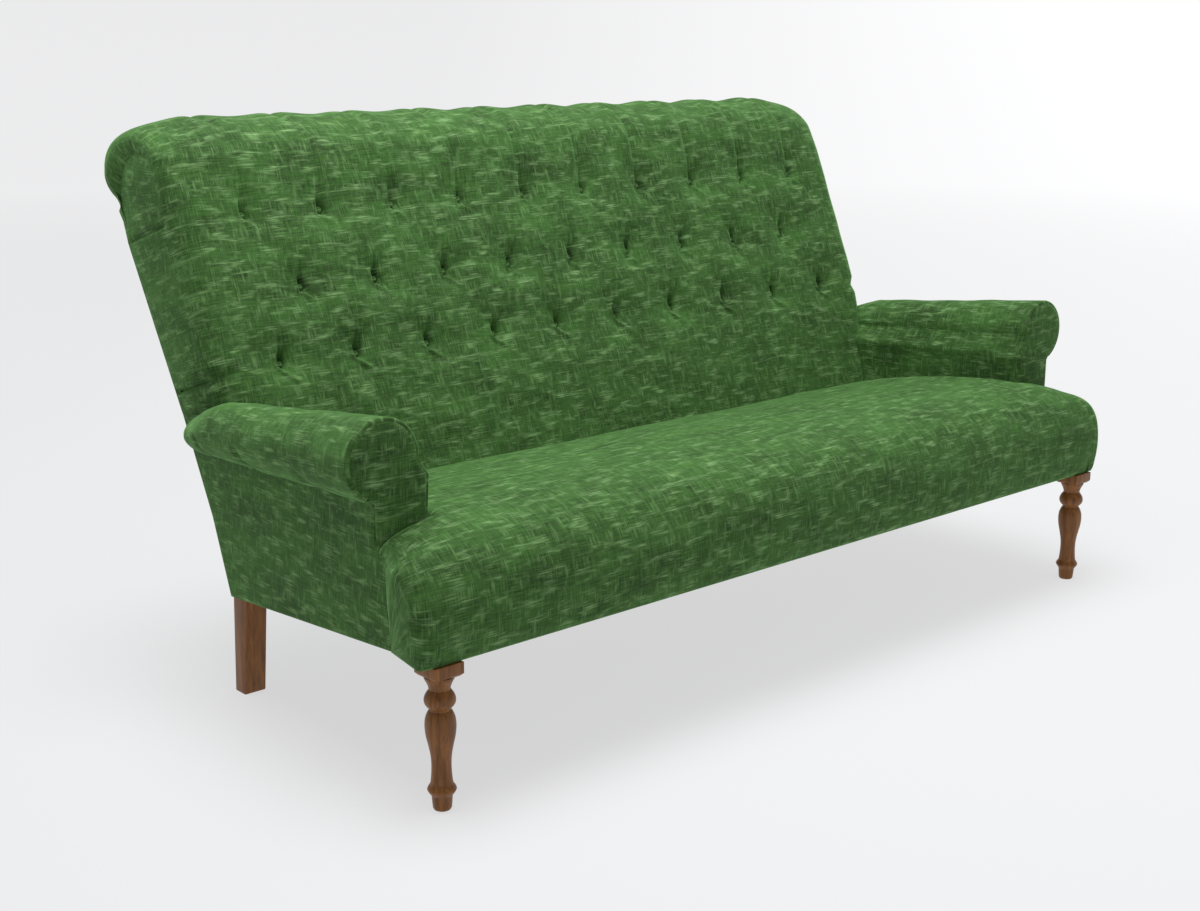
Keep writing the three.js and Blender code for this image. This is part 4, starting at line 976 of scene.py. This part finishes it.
dust_finish, dust_shader = new_material("black_spunbond_dust_cloth")
dust_place = add_node(dust_finish, "ShaderNodeTexCoord")
fibres = add_node(dust_finish, "ShaderNodeTexNoise", {"Vector": dust_place.outputs["Object"]}, Scale=420.0,
                  Detail=4.0, Distortion=1.5)
dust_tone = add_node(dust_finish, "ShaderNodeValToRGB", {"Fac": fibres.outputs[0]})
dust_tone.color_ramp.elements[0].color = linear("#1b1b1a")
dust_tone.color_ramp.elements[1].color = linear("#3a3a38")
dust_finish.node_tree.links.new(dust_tone.outputs[0], dust_shader.inputs["Base Color"])
dust_bump = add_node(dust_finish, "ShaderNodeBump", {"Height": fibres.outputs[0]}, Strength=0.3,
                     Distance=0.0004)
dust_finish.node_tree.links.new(dust_bump.outputs[0], dust_shader.inputs["Normal"])
dust_shader.inputs["Roughness"].default_value = 0.95
places, lie = dust_places()
dust = padded_panel("dust_cloth_sheet", places, lie, [0, 0, DUST_THICK])
finish_piece(dust, dust_finish, "dust_cloth", "dust_cloth")

# Frame: rails, posts, boards and blocks of sawn beech, glued and dowelled, all under the covers.
# The legs' bolts and the zigzag springs are steel, and the back's straps are jute webbing.
sawn_beech = wood_material("sawn_beech", "#d2ac7b", "#b78a58")
steel_finish, steel_shader = new_material("drawn_spring_steel")
steel_place = add_node(steel_finish, "ShaderNodeTexCoord")
drawn = add_node(steel_finish, "ShaderNodeTexNoise", {"Vector": steel_place.outputs["Object"]},
                 Scale=300.0, Detail=3.0)
steel_tone = add_node(steel_finish, "ShaderNodeValToRGB", {"Fac": drawn.outputs[0]})
steel_tone.color_ramp.elements[0].color = linear("#73777b")
steel_tone.color_ramp.elements[1].color = linear("#9da1a5")
steel_finish.node_tree.links.new(steel_tone.outputs[0], steel_shader.inputs["Base Color"])
steel_shader.inputs["Metallic"].default_value = 1.0
steel_shader.inputs["Roughness"].default_value = 0.38

jute_finish, jute_shader = new_material("woven_jute_webbing")
jute_place = add_node(jute_finish, "ShaderNodeTexCoord")
warp = add_node(jute_finish, "ShaderNodeTexWave", {"Vector": jute_place.outputs["Object"]}, Scale=120.0,
                Distortion=1.5, Detail=2.0, _bands_direction="X")
weft = add_node(jute_finish, "ShaderNodeTexWave", {"Vector": jute_place.outputs["Object"]}, Scale=120.0,
                Distortion=1.5, Detail=2.0, _bands_direction="Z")
weave = add_node(jute_finish, "ShaderNodeMath", {0: warp.outputs[1], 1: weft.outputs[1]},
                 _operation="MULTIPLY")
jute_tone = add_node(jute_finish, "ShaderNodeValToRGB", {"Fac": weave.outputs[0]})
jute_tone.color_ramp.elements[0].color = linear("#8d7147")
jute_tone.color_ramp.elements[1].color = linear("#c6aa78")
jute_finish.node_tree.links.new(jute_tone.outputs[0], jute_shader.inputs["Base Color"])
jute_bump = add_node(jute_finish, "ShaderNodeBump", {"Height": weave.outputs[0]}, Strength=0.4,
                     Distance=0.001)
jute_finish.node_tree.links.new(jute_bump.outputs[0], jute_shader.inputs["Normal"])
jute_shader.inputs["Roughness"].default_value = 0.95

for name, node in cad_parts.items():
    finish = sawn_beech
    if "spring" in name or "bolt" in name:
        finish = steel_finish
    elif "webbing" in name:
        finish = jute_finish
    node.data.materials.clear()
    node.data.materials.append(finish)
